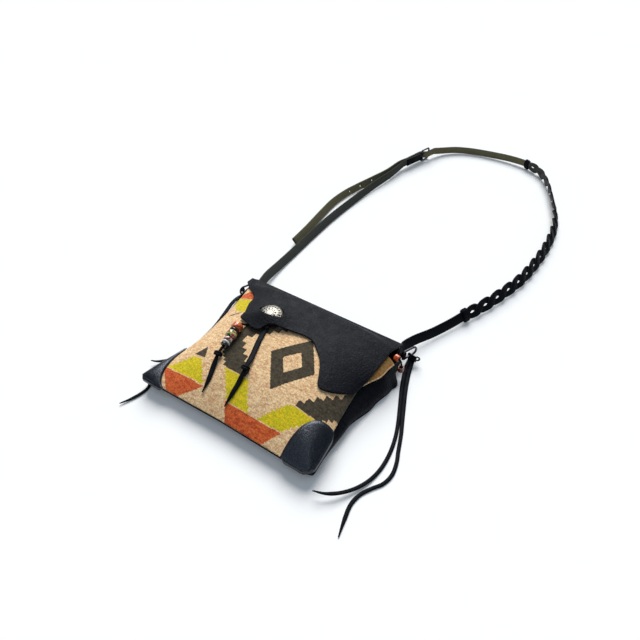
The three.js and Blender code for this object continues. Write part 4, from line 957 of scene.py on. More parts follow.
class BAG_OT_stage(bpy.types.Operator):
    """Camera, plain floor and soft studio light"""

    bl_idname = "bag.stage"
    bl_label = "Stage"

    def execute(self, context):
        scene = context.scene
        scene.view_settings.view_transform = "Standard"
        lens = bpy.data.cameras.new("camera")
        lens.lens = CAMERA_LENS
        lens.sensor_width = 36.0
        lens.clip_start = 0.01
        lens.clip_end = 50.0
        camera = placed("camera", lens)
        level = math.cos(CAMERA_ELEVATION)
        back = Vector((math.sin(CAMERA_AZIMUTH) * level, -math.cos(CAMERA_AZIMUTH) * level,
                       math.sin(CAMERA_ELEVATION)))
        camera.location = (Vector(CAMERA_TARGET) + back * CAMERA_DISTANCE) * MM
        camera.rotation_euler = (-back).to_track_quat("-Z", "Y").to_euler()
        scene.camera = camera

        for name, energy, angle, colour, away in SUNS:
            lamp = bpy.data.lights.new(name, "SUN")
            lamp.energy = energy
            lamp.angle = math.radians(angle)
            lamp.color = colour
            sun = placed(name, lamp)
            sun.rotation_euler = Vector(away).to_track_quat("Z", "Y").to_euler()

        # The camera sees white; the bag gets a weak blue fill
        world = bpy.data.worlds.new("studio")
        world.use_nodes = True
        tree = world.node_tree
        tree.nodes.clear()
        seen = add_node(tree, "LightPath").outputs["Is Camera Ray"]
        fill = add_node(tree, "Background", {"Color": (0.6, 0.79, 1.0, 1), "Strength": 0.19}).outputs[0]
        white = add_node(tree, "Background", {"Color": (1, 1, 1, 1), "Strength": 1.0}).outputs[0]
        both = add_node(tree, "MixShader", {0: seen, 1: fill, 2: white})
        add_node(tree, "OutputWorld", {"Surface": both.outputs[0]})
        scene.world = world

        # Matt white paper: no highlight, lit a little from within so that only the shadow is darker
        corners = [(x * FLOOR_HALF, y * FLOOR_HALF, 0) for x, y in ((-1, -1), (1, -1), (1, 1), (-1, 1))]
        mesh = bpy.data.meshes.new("floor")
        mesh.from_pydata(corners, [], [(0, 1, 2, 3)])
        floor = placed("floor", mesh)
        paper, tree = new_material("white_paper_sweep")
        finish_material(tree, {
            "Base Color": (0.95, 0.95, 0.95, 1), "Roughness": 1.0, "Specular IOR Level": 0.0,
            "Emission Color": (1, 1, 1, 1), "Emission Strength": 0.06})
        mesh.materials.append(paper)
        return {"FINISHED"}


def ribbon(route, width_at, thickness, rise=0.0, steps=LACE_STEPS):
    """Flat lace along a route; width_at gives its width at each share of its length."""
    points = even(catmull(route, CURVE_STEPS), steps)
    points[:, 2] += rise
    wide, thick = frames_of(points, np.full(len(points), FLAT_LEAN))
    widths = [width_at(t) for t in np.linspace(0, 1, len(points))]
    sections = np.array([oval(width, min(thickness, width)) for width in widths])
    return (*swept(points, wide, thick, sections), points)


def lace_width(t):
    """Width of a side lace: flattened where it leaves the knot and cut to a point."""
    flattened = LACE_FLATTENED * float(ease((LACE_FLATTENED_TO - t) / LACE_FLATTENED_FADE))
    return LACE_TIP + (LACE_WIDTH + flattened) * min(1.0, (LACE_POINT_AT - t) / LACE_POINT)


class BAG_OT_laces(bpy.types.Operator):
    """Two lace tails at each side ring"""

    bl_idname = "bag.laces"
    bl_label = "Side Laces"

    def execute(self, context):
        material = lace_material(context.scene.bag_looks)
        for name, plan in LACE_ROUTES.items():
            route = [(*spot, LACE_LOW)[:3] for spot in plan]
            verts, faces, points = ribbon(route, lace_width, FLAT_LACE, LACE_SINK)
            made = piece(name, verts, faces, material)
        return {"FINISHED"}


def bead_body(radius, length):
    """Barrel bead with round shoulders and a bore."""
    half = length / 2
    shoulder = min(half, (radius - BEAD_BORE) * BEAD_SHOULDER)
    quarter = np.linspace(0, math.pi / 2, BEAD_SHOULDER_STEPS)
    out = radius - shoulder * (1 - np.sin(quarter))
    up = half - shoulder * (1 - np.cos(quarter))
    r = np.concatenate([[BEAD_BORE], out, out[::-1], [BEAD_BORE]])
    h = np.concatenate([[-half], -up, up[::-1], [half]])
    return turned(np.stack([r, h], axis=1), BEAD_AROUND)


def add_bead(bead, radius, length, spot, along):
    """Bead of its own glass at a spot, with its bore along a direction."""
    barrel, loops = bead_body(radius, length)
    return piece(bead, facing(barrel, along) + spot, loops, glass_bead(bead))


def knotted_width(tied, upper):
    """Width of a tail that spreads below its knot and ends in a point."""
    above = [(0, 3.4), (0.2, upper), (tied - 0.1, upper), (tied, 3.8)]
    knots = above + [(tied + 0.12, 5.8), (0.86, 5.0), (1.0, 1.4)]
    return lambda t: float(knotted(knots, np.array(t)))


def tail_knot(spot, along):
    """Two flat turns of lace, tipped against each other."""
    turns = []
    for way in (-1, 1):
        loop, loops = torus(TAIL_KNOT_RADIUS, TAIL_KNOT_TUBE)
        loop = tipped(loop * (1, TAIL_KNOT_FLAT, 1), way * TAIL_KNOT_TIP) + (0, 0, way * TAIL_KNOT_APART)
        turns.append((facing(loop, along) + spot, loops))
    return merged(turns)


class BAG_OT_thongs(bpy.types.Operator):
    """Two tails of the button's lace with their knots and beads"""

    bl_idname = "bag.thongs"
    bl_label = "Button Tails"

    def execute(self, context):
        material = lace_material(context.scene.bag_looks)
        for name, plan in THONG_ROUTES.items():
            route = [(x, y, float(front_height(x, y)) + above) for x, y, above in plan]
            line = even(catmull(route, CURVE_STEPS), CURVE_STEPS)
            total = length_of(line)
            knot, knot_y, upper = THONG_KNOTS[name]
            tied = place_on(line, knot_y) / total
            verts, faces, points = ribbon(route, knotted_width(tied, upper), FLAT_LACE)
            made = piece(name, verts, faces, material)
            extras = [piece(knot, *tail_knot(*at_length(line, tied * total)), material)]
            if name == "thong_beaded":
                at = place_on(line, FIRST_BEAD_Y)
                for bead, radius, length in FRONT_BEADS:
                    extras.append(add_bead(bead, radius, length, *at_length(line, at + length / 2)))
                    at += length + BEAD_GAP
        return {"FINISHED"}


def motif(x, y):
    """Yarn of the woven pattern at points of the plan: 0 tan, 1 dark, 2 lime, 3 rust, 4 the mouth corner's
    mixed yarns with painted shade.
    """
    yarn = np.zeros(x.shape, int)
    # Middle column, the same above and below its diamond: rust wedges, lime bands, dark stairs, the diamond
    s = np.abs(x - DIAMOND_X)
    rise = np.abs(y - DIAMOND_Y)
    step = np.floor(rise / WEAVE_STEP) * WEAVE_STEP
    stairs = 31.8 + 6.6 * np.floor((40.8 - rise) / 7.2)
    yarn[(rise > 70.5) & (s < 35.5 - 0.72 * (rise - 70))] = 3
    yarn[(rise > 41.8) & (rise < 69.6) & (s > 26 - 0.74 * (step - 41)) & (s < 58.5 - 0.9 * (step - 40))] = 2
    yarn[(rise < 40.8) & (s > stairs) & (s < np.minimum(77, 57.5 + (40.8 - step)))] = 1
    yarn[(s / 28.2 + rise / 39.8 < 1) & (s / 12.2 + rise / 16.3 > 1)] = 1
    # Left column: a rust and lime pyramid below, with a dark peak, and one above
    for centre, lift in PYRAMIDS:
        here = (y > 0) == (lift > 0)
        off = np.abs(x - centre)
        climb = rise + lift
        steps = np.floor(climb / WEAVE_STEP) * WEAVE_STEP
        yarn[here & (climb > 69) & (off < 29 - 1.05 * (climb - 69.5))] = 3
        yarn[here & (climb > 44.5) & (climb < 68) & (off < 6 + 0.93 * (steps - 43))] = 2
    peak = np.abs(x - PYRAMIDS[0][0]) < 8 * (rise - 27.4) / 14.6
    yarn[(y <= 0) & (rise > 27.4) & (rise < 42) & peak] = 1
    # Corner of the mouth where the front turns, drawn as one mix of its yarns darkened with painted shade; a
    # short dark stripe at the left and the pale right edge
    yarn[(x > 96) & (y > 14)] = 4
    along = (x + 81.7) / 10.9
    yarn[(along > 0) & (along < 1) & (np.abs(y - 23.2 - 8.4 * along) < 1.6 - 0.9 * along)] = 1
    up = np.clip((y - BOTTOM_Y) / (float(top_edge_y(np.array(1.0))) - BOTTOM_Y), 0, 1)
    yarn[(y > RIM_PALE_ABOVE) & (front_half_width(up, True) - x < RIM_PALE_WIDTH)] = 0
    return yarn


def dyed_wool(x, y, looks):
    """Colours of the weave: each yarn is two plies that drift along the weft in short runs."""
    seed = np.random.default_rng(PLY_SEED)
    cell = looks.weave_cell / MM
    columns = ((x + WEAVE_CORNER[0]) / cell).astype(int) // 2
    rows = ((y + WEAVE_CORNER[1]) / cell).astype(int) // 2
    drift = seed.normal(size=(rows.max() + 1, columns.max() + 2))
    runs = (drift[:, 1:] + drift[:, :-1]) / math.sqrt(2)
    yarn = motif(x, y)
    plies = np.array([looks.tan, looks.dark, looks.lime, looks.rust, looks.reverse])
    second = plies * np.array(SECOND_PLY)
    share = PLY_SHARE + PLY_DRIFT * runs[rows, columns] + PLY_FLECK * seed.normal(size=x.size)
    return lerp(plies[yarn], second[yarn], np.clip(share, 0, 1)[:, None])


class BAG_OT_front(bpy.types.Operator):
    """Patterned wool front and its two leather corners"""

    bl_idname = "bag.front"
    bl_label = "Wool Front"

    def execute(self, context):
        looks = context.scene.bag_looks
        cell = looks.weave_cell / MM
        across = np.linspace(-1, 1, int(BAG_WIDTH / cell))
        up = np.linspace(0, 1, int((TOP_EDGE_Y - BOTTOM_Y) / cell))
        u, v = np.meshgrid(across, up)
        verts, faces = slab(offset_grid(front_point, u, v, 0), offset_grid(front_point, u, v, -WOOL))
        verts = round_tips(verts, TIP_RADIUS_OF_WOOL)
        mesh = piece("front_panel", verts, faces, wool_cloth("felted_wool_blanket")).data
        count = len(mesh.polygons)
        centres = np.empty(count * 3)
        mesh.polygons.foreach_get("center", centres)
        centres = centres.reshape(-1, 3) / MM
        colours = dyed_wool(centres[:, 0], centres[:, 1], looks)
        # The wool's cut rim keeps plain tan above RIM_PALE_ABOVE; below it the tan is darkened with painted
        # shade
        rim = 2 * (len(across) + len(up) - 2)
        rim_painted_shade = np.where(centres[-rim:, 1] > RIM_PALE_ABOVE, 1.0, RIM_PAINTED_SHADE)
        colours[-rim:] = np.outer(rim_painted_shade, looks.tan)
        dyed = mesh.attributes.new("weave", "FLOAT_COLOR", "FACE")
        dyed.data.foreach_set("color", np.hstack([colours, np.ones((count, 1))]).ravel())

        hide = patch_material(looks)
        for side, word in SIDES:
            verts, faces = corner_patch(side)
            piece("corner_patch_" + word, round_tips(verts), faces, hide)
        return {"FINISHED"}


def corner_patch(side):
    """Leather over a bottom corner of the front that also rolls down over the wool's rim."""
    turn, reach = np.meshgrid(np.linspace(0, math.pi / 2, PATCH_STEPS), np.linspace(0, 1, PATCH_STEPS))
    seam_share = PATCH_ALONG_SEAM / (BAG_WIDTH / 2)
    side_share = PATCH_UP_SIDE / (TOP_EDGE_Y - BOTTOM_Y)
    u = side * (1 - reach * seam_share * np.maximum(0, np.cos(turn)) ** PATCH_CURVE[side])
    v = reach * side_share * np.sin(turn) ** PATCH_CURVE[side]
    inset = 2e-3
    normal = normal_of(front_point, np.clip(u, inset - 1, 1 - inset), np.maximum(v, inset), inset)
    base = front_point(u, v)
    thin = 1 - PATCH_SKIVED * ease((reach - PATCH_SKIVED_FROM) / (1 - PATCH_SKIVED_FROM))[..., None]
    puff = PATCH_PUFF * (4 * reach * (1 - reach) * np.sin(2 * turn))[..., None]
    upper = base + normal * (PATCH_GAP + PATCH_LEATHER * thin + puff)
    lower = base + normal * PATCH_GAP
    share = np.linspace(0, 1, PATCH_ROLL_STEPS)[1:, None]
    quarter = np.minimum(1, share / PATCH_ROLL_SHARE) * math.pi / 2
    away = PATCH_ROLL * np.sin(quarter)
    past = np.maximum(0, share - PATCH_ROLL_SHARE) / (1 - PATCH_ROLL_SHARE)
    down = -UP * (PATCH_ROLL * (1 - np.cos(quarter)) + PATCH_DROP * past)
    near = ease(reach[:, :1] / PATCH_ROLL_TURNS_BY)
    taper = ease((1 - reach[:, :1]) / PATCH_ROLL_FADES_OVER)[..., None]
    corner = unit(np.array([side, -1.0, 0.0]))
    grids = []
    for layer, part in ((upper, 1.0), (lower, PATCH_UNDERSIDE_ROLL)):
        rolls = []
        for column, plain in ((0, (0.0, -1.0, 0.0)), (-1, (float(side), 0.0, 0.0))):
            out = unit(lerp(corner, np.array(plain), near))[:, None]
            rolls.append(layer[:, [column]] + taper * (out * part * away + down))
        grids.append(np.concatenate([rolls[0][:, ::-1], layer, rolls[1]], axis=1))
    return slab(*grids)


class BAG_OT_shell(bpy.types.Operator):
    """Back hide and the two side gussets"""

    bl_idname = "bag.shell"
    bl_label = "Back and Gussets"

    def execute(self, context):
        hide = hide_material(context.scene.bag_looks)
        quarter = np.linspace(0, math.pi / 2, ROLL_STEPS)
        bottom = BOTTOM_Y + BOTTOM_ROLL * (1 - np.sin(quarter[::-1]))
        end = SPINE_Y - SPINE_ROLL
        flat = np.linspace(bottom[-1], end, BACK_ROWS)[1:-1]
        wall = np.linspace(SPINE_ROLL, SPINE_HEIGHT, BACK_WALL_ROWS)[1:]
        y = [bottom, flat, end + SPINE_ROLL * np.sin(quarter), np.full_like(wall, SPINE_Y)]
        z = [BACK_SEAM_HEIGHT * (1 - np.cos(quarter[::-1])), np.zeros_like(flat),
             SPINE_ROLL * (1 - np.cos(quarter)), wall]
        line = np.stack([np.concatenate(y), np.concatenate(z)], axis=1)
        along = unit(np.vstack([line[1:], line[-1:]]) - np.vstack([line[:1], line[:-1]]))
        left = -back_half_width(line[:, :1], -1)
        right = back_half_width(line[:, :1], 1)
        x = left + (right - left) * np.linspace(0, 1, BACK_COLUMNS)
        place = settled(line[:, :1], x / np.where(x < 0, -left, right))
        layers = []
        for depth in (BACK_LEATHER, 0):
            height = line[:, 1:] + along[:, :1] * depth + 0 * x
            layers.append(np.stack([x, place - along[:, 1:] * depth, height], axis=-1))
        verts, faces = slab(*layers)
        piece("back_panel", round_tips(verts), faces, hide, bevel=BACK_BEVEL)
        up = np.linspace(GUSSET_START, GUSSET_END, GUSSET_ROWS)
        s, y = np.meshgrid(np.linspace(0, 1, GUSSET_COLUMNS), up)
        for side, word, depths in ((-1, "left", (0, -GUSSET_LEATHER)), (1, "right", (GUSSET_LEATHER, 0))):
            verts, faces = slab(*[offset_grid(gusset_wall(side), s, y, depth) for depth in depths])
            piece("gusset_" + word, round_tips(verts), faces, hide, bevel=GUSSET_BEVEL)
        return {"FINISHED"}


def gusset_wall(side):
    """Surface of a gusset: s from the back hide to the front panel, y up the bag."""
    mouth_y = float(top_edge_y(np.array(float(side))))

    def wall(s, y):
        v = np.clip((y - BOTTOM_Y) / (mouth_y - BOTTOM_Y), 0, 1)
        past = ease((y - mouth_y) / (GUSSET_END - mouth_y))
        flare = ease((y - TAB_FOOT_Y + GUSSET_FLARE_BELOW_TAB) / GUSSET_FLARE)
        high_x = lerp(front_half_width(v, side > 0) - 1, SIDE_FLARE[side], flare)
        high_z = lerp(front_rise(np.full_like(v, side), v) - WOOL - SEAM_GAP - SEAM_INSET, GUSSET_TOP, past)
        low_x = back_half_width(y, side)
        low_z = back_height(y) + BACK_LEATHER + SEAM_GAP + SEAM_INSET
        swell_ends = ease((y - TAB_FOOT_Y + GUSSET_BULGE_BELOW_TAB) / GUSSET_BULGE_OUT)
        swell = GUSSET_BULGE * ease((y - GUSSET_START) / GUSSET_BULGE_IN) * (1 - swell_ends)
        x = lerp(low_x, high_x, s) + swell * np.sin(math.pi * s)
        return np.stack([side * x, settled(y, side), lerp(low_z, high_z, s)], axis=-1)

    return wall


def slit_outline():
    """Half-moon slit round the button: an arc above it and a lower lip that sags."""
    radius = BUTTON_RADIUS + SLIT_CLEARANCE
    first = math.asin(SLIT_END_ABOVE_CENTRE / radius)
    angles = np.linspace(first, math.pi - first, SLIT_ARC_STEPS)
    arc = np.stack([radius * np.cos(angles), radius * np.sin(angles)], axis=1)
    across = np.linspace(-1, 1, SLIT_LIP_STEPS)[1:-1]
    lip_y = SLIT_END_ABOVE_CENTRE - SLIT_LIP_SAG * (1 - across ** 2)
    lip = np.stack([across * radius * math.cos(first), lip_y], axis=1)
    return np.vstack([arc, lip]) + (BUTTON_X + SLIT_SHIFT, BUTTON_Y)


class BAG_OT_flap(bpy.types.Operator):
    """Leather flap with a cut edge, and the dome button in its slit"""

    bl_idname = "bag.flap"
    bl_label = "Flap and Button"

    def execute(self, context):
        edge = even(catmull([(x, y, 0) for x, y in FLAP_EDGE], EDGE_CURVE_STEPS), EDGE_STEPS)
        # Columns keep their order across the bag
        x = np.maximum.accumulate(edge[:, 0] + np.arange(len(edge)) * 1e-4)
        low = edge[:, 1]
        share = FLAP_ROWS[:, None]
        grid_x = np.tile(x, (len(share), 1))
        grid_y = low + (SPINE_Y + SEAM_GAP - low) * share
        ear = EAR_DROP * hill((grid_x - EAR_PLACE[0]) / EAR_SPREAD, (grid_y - EAR_PLACE[1]) / EAR_SPREAD)
        under = np.stack([grid_x, grid_y, flap_rise(grid_x, grid_y) - ear], axis=-1)
        thin = 1 - np.clip((grid_y - low) / (FLAP_LEATHER / 2), 0, 1)
        full = np.sqrt(np.clip(1 - FLAP_EDGE_ROUND * thin ** 2, 0, 1))
        half = np.stack([0 * full, 0 * full, FLAP_LEATHER / 2 * full], axis=-1)
        middle = under + (0, 0, FLAP_LEATHER / 2)
        hide = hide_material(context.scene.bag_looks)
        made = piece("flap", *slab(middle + half, middle - half), hide, free=True)
        ends = np.array([(0, 0, SPINE_HEIGHT), (0, 0, SPINE_HEIGHT + SLIT_CUT_HEIGHT)])
        cut(made, *swept(ends, (1.0, 0, 0), (0, 1.0, 0), slit_outline()))
        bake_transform(made)

        seat = float(front_height(BUTTON_X, BUTTON_Y)) + SEAM_GAP + SHANK_RADIUS * math.sin(BUTTON_TILT)
        centre = (BUTTON_X + BUTTON_SHIFT, BUTTON_Y, seat + BUTTON_STAND * math.cos(BUTTON_TILT))
        verts, faces, recess = button_body()
        silver = metal("cast_silver_oxidised", linear("#98948b"), 0.42, linear("#14110e"))
        concho = piece("concho", tipped(verts, BUTTON_TILT) + centre, faces, silver)
        mark = concho.data.attributes.new("recess", "FLOAT", "POINT")
        if len(concho.data.vertices) != len(recess):
            raise RuntimeError("the button's points were merged")
        mark.data.foreach_set("value", recess)
        return {"FINISHED"}


def button_body():
    """Domed button with stamped rays, a ring of dots and a boss, and how deep each point lies."""
    dome = (BUTTON_RADIUS ** 2 + BUTTON_DOME ** 2) / (2 * BUTTON_DOME)
    angle = np.linspace(0, 2 * math.pi, BUTTON_AROUND, endpoint=False)
    rows = []
    for r in [*np.linspace(BUTTON_EYE, BUTTON_RADIUS - BUTTON_EDGE, BUTTON_ROWS), BUTTON_RADIUS]:
        sunk = np.zeros(BUTTON_AROUND)
        for times, least, inner, outer in STAMPS:
            sunk = np.maximum(sunk, (np.cos(times * angle) > least) * (inner < r < outer))
        rows.append((r, math.sqrt(dome ** 2 - r * r) - (dome - BUTTON_DOME) + BUTTON_RIM, sunk))
    plain = np.zeros(BUTTON_AROUND)
    for r, h in ((BUTTON_RADIUS, BUTTON_BACK), (SHANK_RADIUS, 0.0), (SHANK_RADIUS, -BUTTON_STAND),
                 (BUTTON_EYE, -BUTTON_STAND)):
        rows.append((r, h, plain))
    rings = []
    for r, h, sunk in rows:
        rings.append(np.stack([r * np.cos(angle), r * np.sin(angle), h - STAMP_DEPTH * sunk], axis=1))
    recess = np.concatenate([row[2] for row in rows])
    return np.concatenate(rings), tube_faces(len(rows), BUTTON_AROUND, False), recess


def on_edge(route, half_width=STRAP_WIDTH / 2, half_thickness=STRAP_THICKNESS / 2):
    """Route with the height of a strap's middle when it leans on its lower edge."""
    rows = np.array(route, float)
    tilt = np.radians(rows[:, 3])
    rows[:, 2] += half_width * np.cos(tilt) + half_thickness * np.abs(np.sin(tilt))
    return rows


def at_buckle(t, n, z=BUCKLE_HEIGHT):
    """Point beside the buckle: t along the strap from the heel bar, n to the outside of the loop."""
    hx, hy = BUCKLE_HEADING
    return np.array([BUCKLE_PLACE[0] + hx * t - hy * n, BUCKLE_PLACE[1] + hy * t + hx * n, z])


def station(t, n, lean=0.0):
    """Strap station beside the buckle."""
    return (*at_buckle(t, n), lean)


def along_route(route, steps):
    """Strap stations along a route, as rows of x, y, z and lean."""
    pts = np.array(route, float)
    line = catmull(pts[:, :3], steps)
    lean = np.interp(np.linspace(0, len(pts) - 1, steps + 1), np.arange(len(pts)), pts[:, 3])
    return np.column_stack([line, lean])


def band(name, stations, *materials, width=STRAP_WIDTH, thickness=STRAP_THICKNESS):
    """Flat strap with rounded edges; a second material goes on its inner face."""
    rows = np.array(stations)
    ring = rounded(width, thickness, 0.45 * thickness)
    made = piece(name, *swept(rows[:, :3], *frames_of(rows[:, :3], rows[:, 3]), ring), *materials)
    if len(materials) > 1:
        line_inside(made, ring, len(rows), 1)
    return made


def line_inside(made, ring, rows, strands):
    """Puts a strap's second material on the inner face of each of its strands."""
    inside = (ring[:, 1] < 0) & (np.roll(ring[:, 1], -1) < 0)
    strand = np.concatenate([np.tile(inside, rows - 1), [False, False]])
    made.data.polygons.foreach_set("material_index", np.tile(strand, strands).astype(int))


class BAG_OT_straps(bpy.types.Operator):
    """Buckle strap, adjuster, braid, right strap and the two ties"""

    bl_idname = "bag.straps"
    bl_label = "Straps"

    def execute(self, context):
        looks = context.scene.bag_looks
        grain = lace_material(looks)
        dark_flesh = dark_flesh_material()
        self.buckle_strap(grain, dark_flesh)
        route = [(x, y, BRAID_LIFT, lean) for x, y, lean in BRAID_ROUTE]
        braid = on_edge(route, BRAID_SPREAD + BRAID_STRAND_WIDTH / 2, BRAID_STRAND_THICKNESS)
        into = unit(braid[1, :3] - braid[0, :3])
        out_of = unit(braid[-1, :3] - braid[-2, :3])
        self.adjuster(braid[0, :3] - 2 * SEAM_GAP * into, grain, flesh_material(looks))
        braid_strands(braid, grain, dark_flesh)
        right = [(*(braid[-1, :3] + 2 * SEAM_GAP * out_of), -38.0), *on_edge(RIGHT_ROUTE)]
        band("right_strap", along_route(right, steps=90), grain, dark_flesh)
        tie("braid_tie_top", braid[0], into, grain)
        tie("braid_tie_bottom", braid[-1], out_of, grain)
        return {"FINISHED"}

    def buckle_strap(self, *materials):
        """Left strap, folded round the buckle's heel bar, with a slot for the prong."""
        ply = (STRAP_THICKNESS + SEAM_GAP) / 2
        turn = BUCKLE_WIRE + BAR_CLEARANCE + STRAP_THICKNESS / 2
        bend = [station(turn * math.cos(a), turn * math.sin(a)) for a in np.radians(np.linspace(90, -90, 21))]
        stations = list(along_route([*on_edge(LEFT_ROUTE), station(-FOLD_BACK - 8, ply, 2.0)], steps=150))
        stations += [station(-FOLD_BACK + 10, ply), station(-12, ply + 0.1), station(-6, ply + 0.7), *bend]
        stations += [station(-6, -ply - 0.7), station(-12, -ply - 0.1), station(-FOLD_BACK, -ply)]
        strap = band("buckle_strap", stations, *materials)
        ends = at_buckle(PRONG_SLOT_AT, 0) + PRONG_SLOT_HALF_HEIGHT * np.array([-UP, UP])
        cut(strap, *swept(ends, ALONG_BUCKLE, ACROSS_BUCKLE, rounded(PRONG_SLOT, PRONG_SLOT, 0.1, 1)))

    def adjuster(self, end, *materials):
        """Strap from its free tail through the buckle to the braid, with punched holes."""
        ply = (STRAP_THICKNESS + SEAM_GAP) / 2
        outer = BUCKLE_WIRE + BAR_CLEARANCE + STRAP_THICKNESS * 1.5 + SEAM_GAP
        inner = -(BUCKLE_WIRE + SEAM_GAP + STRAP_THICKNESS / 2)
        joining = [station(-52, ply * 3 + 1.4, 9.0), station(-34, ply * 3 + 0.6, 4.0)]
        tail = along_route([*on_edge(TAIL_ROUTE), *joining], steps=110)
        through = ((-14, outer - 0.4), (-4, outer), (2, outer), (4.5, outer - 0.7), (6.5, outer - 2.4),
                   (9.5, inner + 2.6), (11.5, inner + 0.8), (14, inner), (BUCKLE_REACH + 3, inner))
        stations = [*tail, *[station(t, n) for t, n in through]]
        to_braid = [station(BUCKLE_REACH + 12, inner), *MID_ROUTE, (*end, -8.0)]
        stations += list(along_route(to_braid, steps=60))
        strap = band("adjuster_strap", stations, *materials)
        _, thick = frames_of(tail[:, :3], tail[:, 3])
        places = distances(tail[:, :3])
        for k in range(STRAP_HOLE_COUNT):
            near = int(np.argmin(np.abs(places - (STRAP_HOLES_FROM * places[-1] + k * STRAP_HOLE_PITCH))))
            drill(strap, tail[near, :3], thick[near], STRAP_HOLE_RADIUS, STRAP_DRILL)
        spot = at_buckle(PRONG_HOLE_AT, PRONG_PIN)
        for swing in (0, PRONG_LIFT):
            axis = swung(spot + ALONG_BUCKLE, swing) - swung(spot, swing)
            drill(strap, swung(spot, swing), axis, PRONG_RADIUS + PRONG_CLEARANCE, PRONG_DRILL)


def swung(point, angle):
    """Point turned about the buckle's heel bar."""
    x = point[0] - BUCKLE_PLACE[0]
    y = point[1] - BUCKLE_PLACE[1]
    turned_x = BUCKLE_PLACE[0] + x * math.cos(angle) - y * math.sin(angle)
    turned_y = BUCKLE_PLACE[1] + x * math.sin(angle) + y * math.cos(angle)
    return np.array([turned_x, turned_y, point[2]])


def drill(made, centre, axis, radius, reach):
    """Round hole through a strap."""
    axis = unit(np.asarray(axis))
    wide = unit(np.cross(axis, OFF_AXIS))
    ends = np.array([centre - reach * axis, centre + reach * axis])
    cut(made, *swept(ends, wide, np.cross(axis, wide), oval(2 * radius, 2 * radius, 20)))


def braid_strands(route, *materials):
    """Two halves of a slit strap that swap sides at every pitch and leave an eye between them."""
    line = along_route(route, steps=600)
    count = round(length_of(line[:, :3]) / BRAID_PITCH) * BRAID_STEPS
    rows = even(line, count)
    wide, thick = frames_of(rows[:, :3], rows[:, 3])
    k = np.arange(count + 1)
    phase = math.pi * (k - BRAID_STEPS / 2) / BRAID_STEPS
    ends = ease(np.minimum(k, count - k) / (BRAID_STEPS / 2))
    spread = BRAID_SPREAD * np.cos(phase)
    lift = (BRAID_STRAND_THICKNESS / 2) * np.sin(phase) * ends
    together = (BRAID_STRAND_WIDTH / 2 - BRAID_END_OVERLAP) * np.sign(np.cos(phase) + 1e-9)
    slanted = np.hypot(1, BRAID_SPREAD * math.pi / BRAID_PITCH * np.sin(phase) * ends)
    stretch = slanted * (1 + BRAID_SPREAD_AT_CROSSING * np.sin(phase) ** 2 * ends)
    ring = rounded(BRAID_STRAND_WIDTH, BRAID_STRAND_THICKNESS, BRAID_STRAND_CORNER)
    sections = ring * np.stack([stretch, np.ones(count + 1)], axis=1)[:, None]
    strands = []
    for sign in (1, -1):
        aside = sign * lerp(together, spread, ends)
        middle = rows[:, :3] + aside[:, None] * wide + (sign * lift)[:, None] * thick
        strands.append(swept(middle, wide, thick, sections))
    line_inside(piece("braided_strap", *merged(strands), *materials), ring, count + 1, len(strands))


def tie(name, row, along, material):
    """Wrap of thin lace round an end of the braid, a few turns side by side."""
    centre = row[:3]
    wide, thick = frames_of(np.array([centre, centre + along]), np.array([row[3], row[3]]))
    share = np.linspace(-1, 1, TIE_STEPS)
    grooves = TIE_GROOVE * np.abs(np.sin(np.linspace(0, TIE_TURNS * math.pi, TIE_STEPS))) - TIE_GROOVE
    swell = 2 * (grooves - TIE_END_ROUND * np.abs(share) ** 6)
    points = centre + (share * TIE_LENGTH / 2)[:, None] * np.asarray(along)
    sections = np.array([oval(TIE_WIDTH + more, TIE_HEIGHT + more, 40) for more in swell])
    piece(name, *swept(points, wide[0], thick[0], sections), material)


def rounded_loop(length, height, near, far, place):
    """Wire line of a loop with a straight near side and its own corner radius at each end."""
    top = height / 2
    corners = [
        (near, top - near, near, math.pi, math.pi / 2),
        (length - far, top - far, far, math.pi / 2, 0),
        (length - far, far - top, far, 0, -math.pi / 2),
        (near, near - top, near, -math.pi / 2, -math.pi),
    ]
    points = []
    for x, y, radius, start, end in corners:
        for angle in np.linspace(start, end, 9):
            points.append(place(x + radius * math.cos(angle), y + radius * math.sin(angle)))
    return np.array(points)


def around_loop(points):
    """Direction of a closed line at each of its points."""
    return unit(np.roll(points, -1, axis=0) - np.roll(points, 1, axis=0))


def wire_loop(points, normal, radius):
    """Closed loop of round wire."""
    out = np.cross(around_loop(points), normal)
    return swept(points, out, normal, oval(2 * radius, 2 * radius), ring=True)


def knot_body():
    """Overhand knot of lace drawn tight."""
    angle = np.linspace(0, 4 * math.pi, KNOT_STEPS, endpoint=False)
    swell = KNOT_RADIUS * (2 + np.cos(1.5 * angle)) * 0.5
    height = KNOT_RADIUS * np.sin(1.5 * angle) * 0.5
    line = np.stack([swell * np.cos(angle), swell * np.sin(angle), height], axis=1)
    line = even(np.vstack([line, line[:1]]), KNOT_STEPS)[:-1]
    along = around_loop(line)
    out = unit(np.cross(along, UP))
    return swept(line, out, np.cross(out, along), oval(*KNOT_LACE, 10), ring=True)


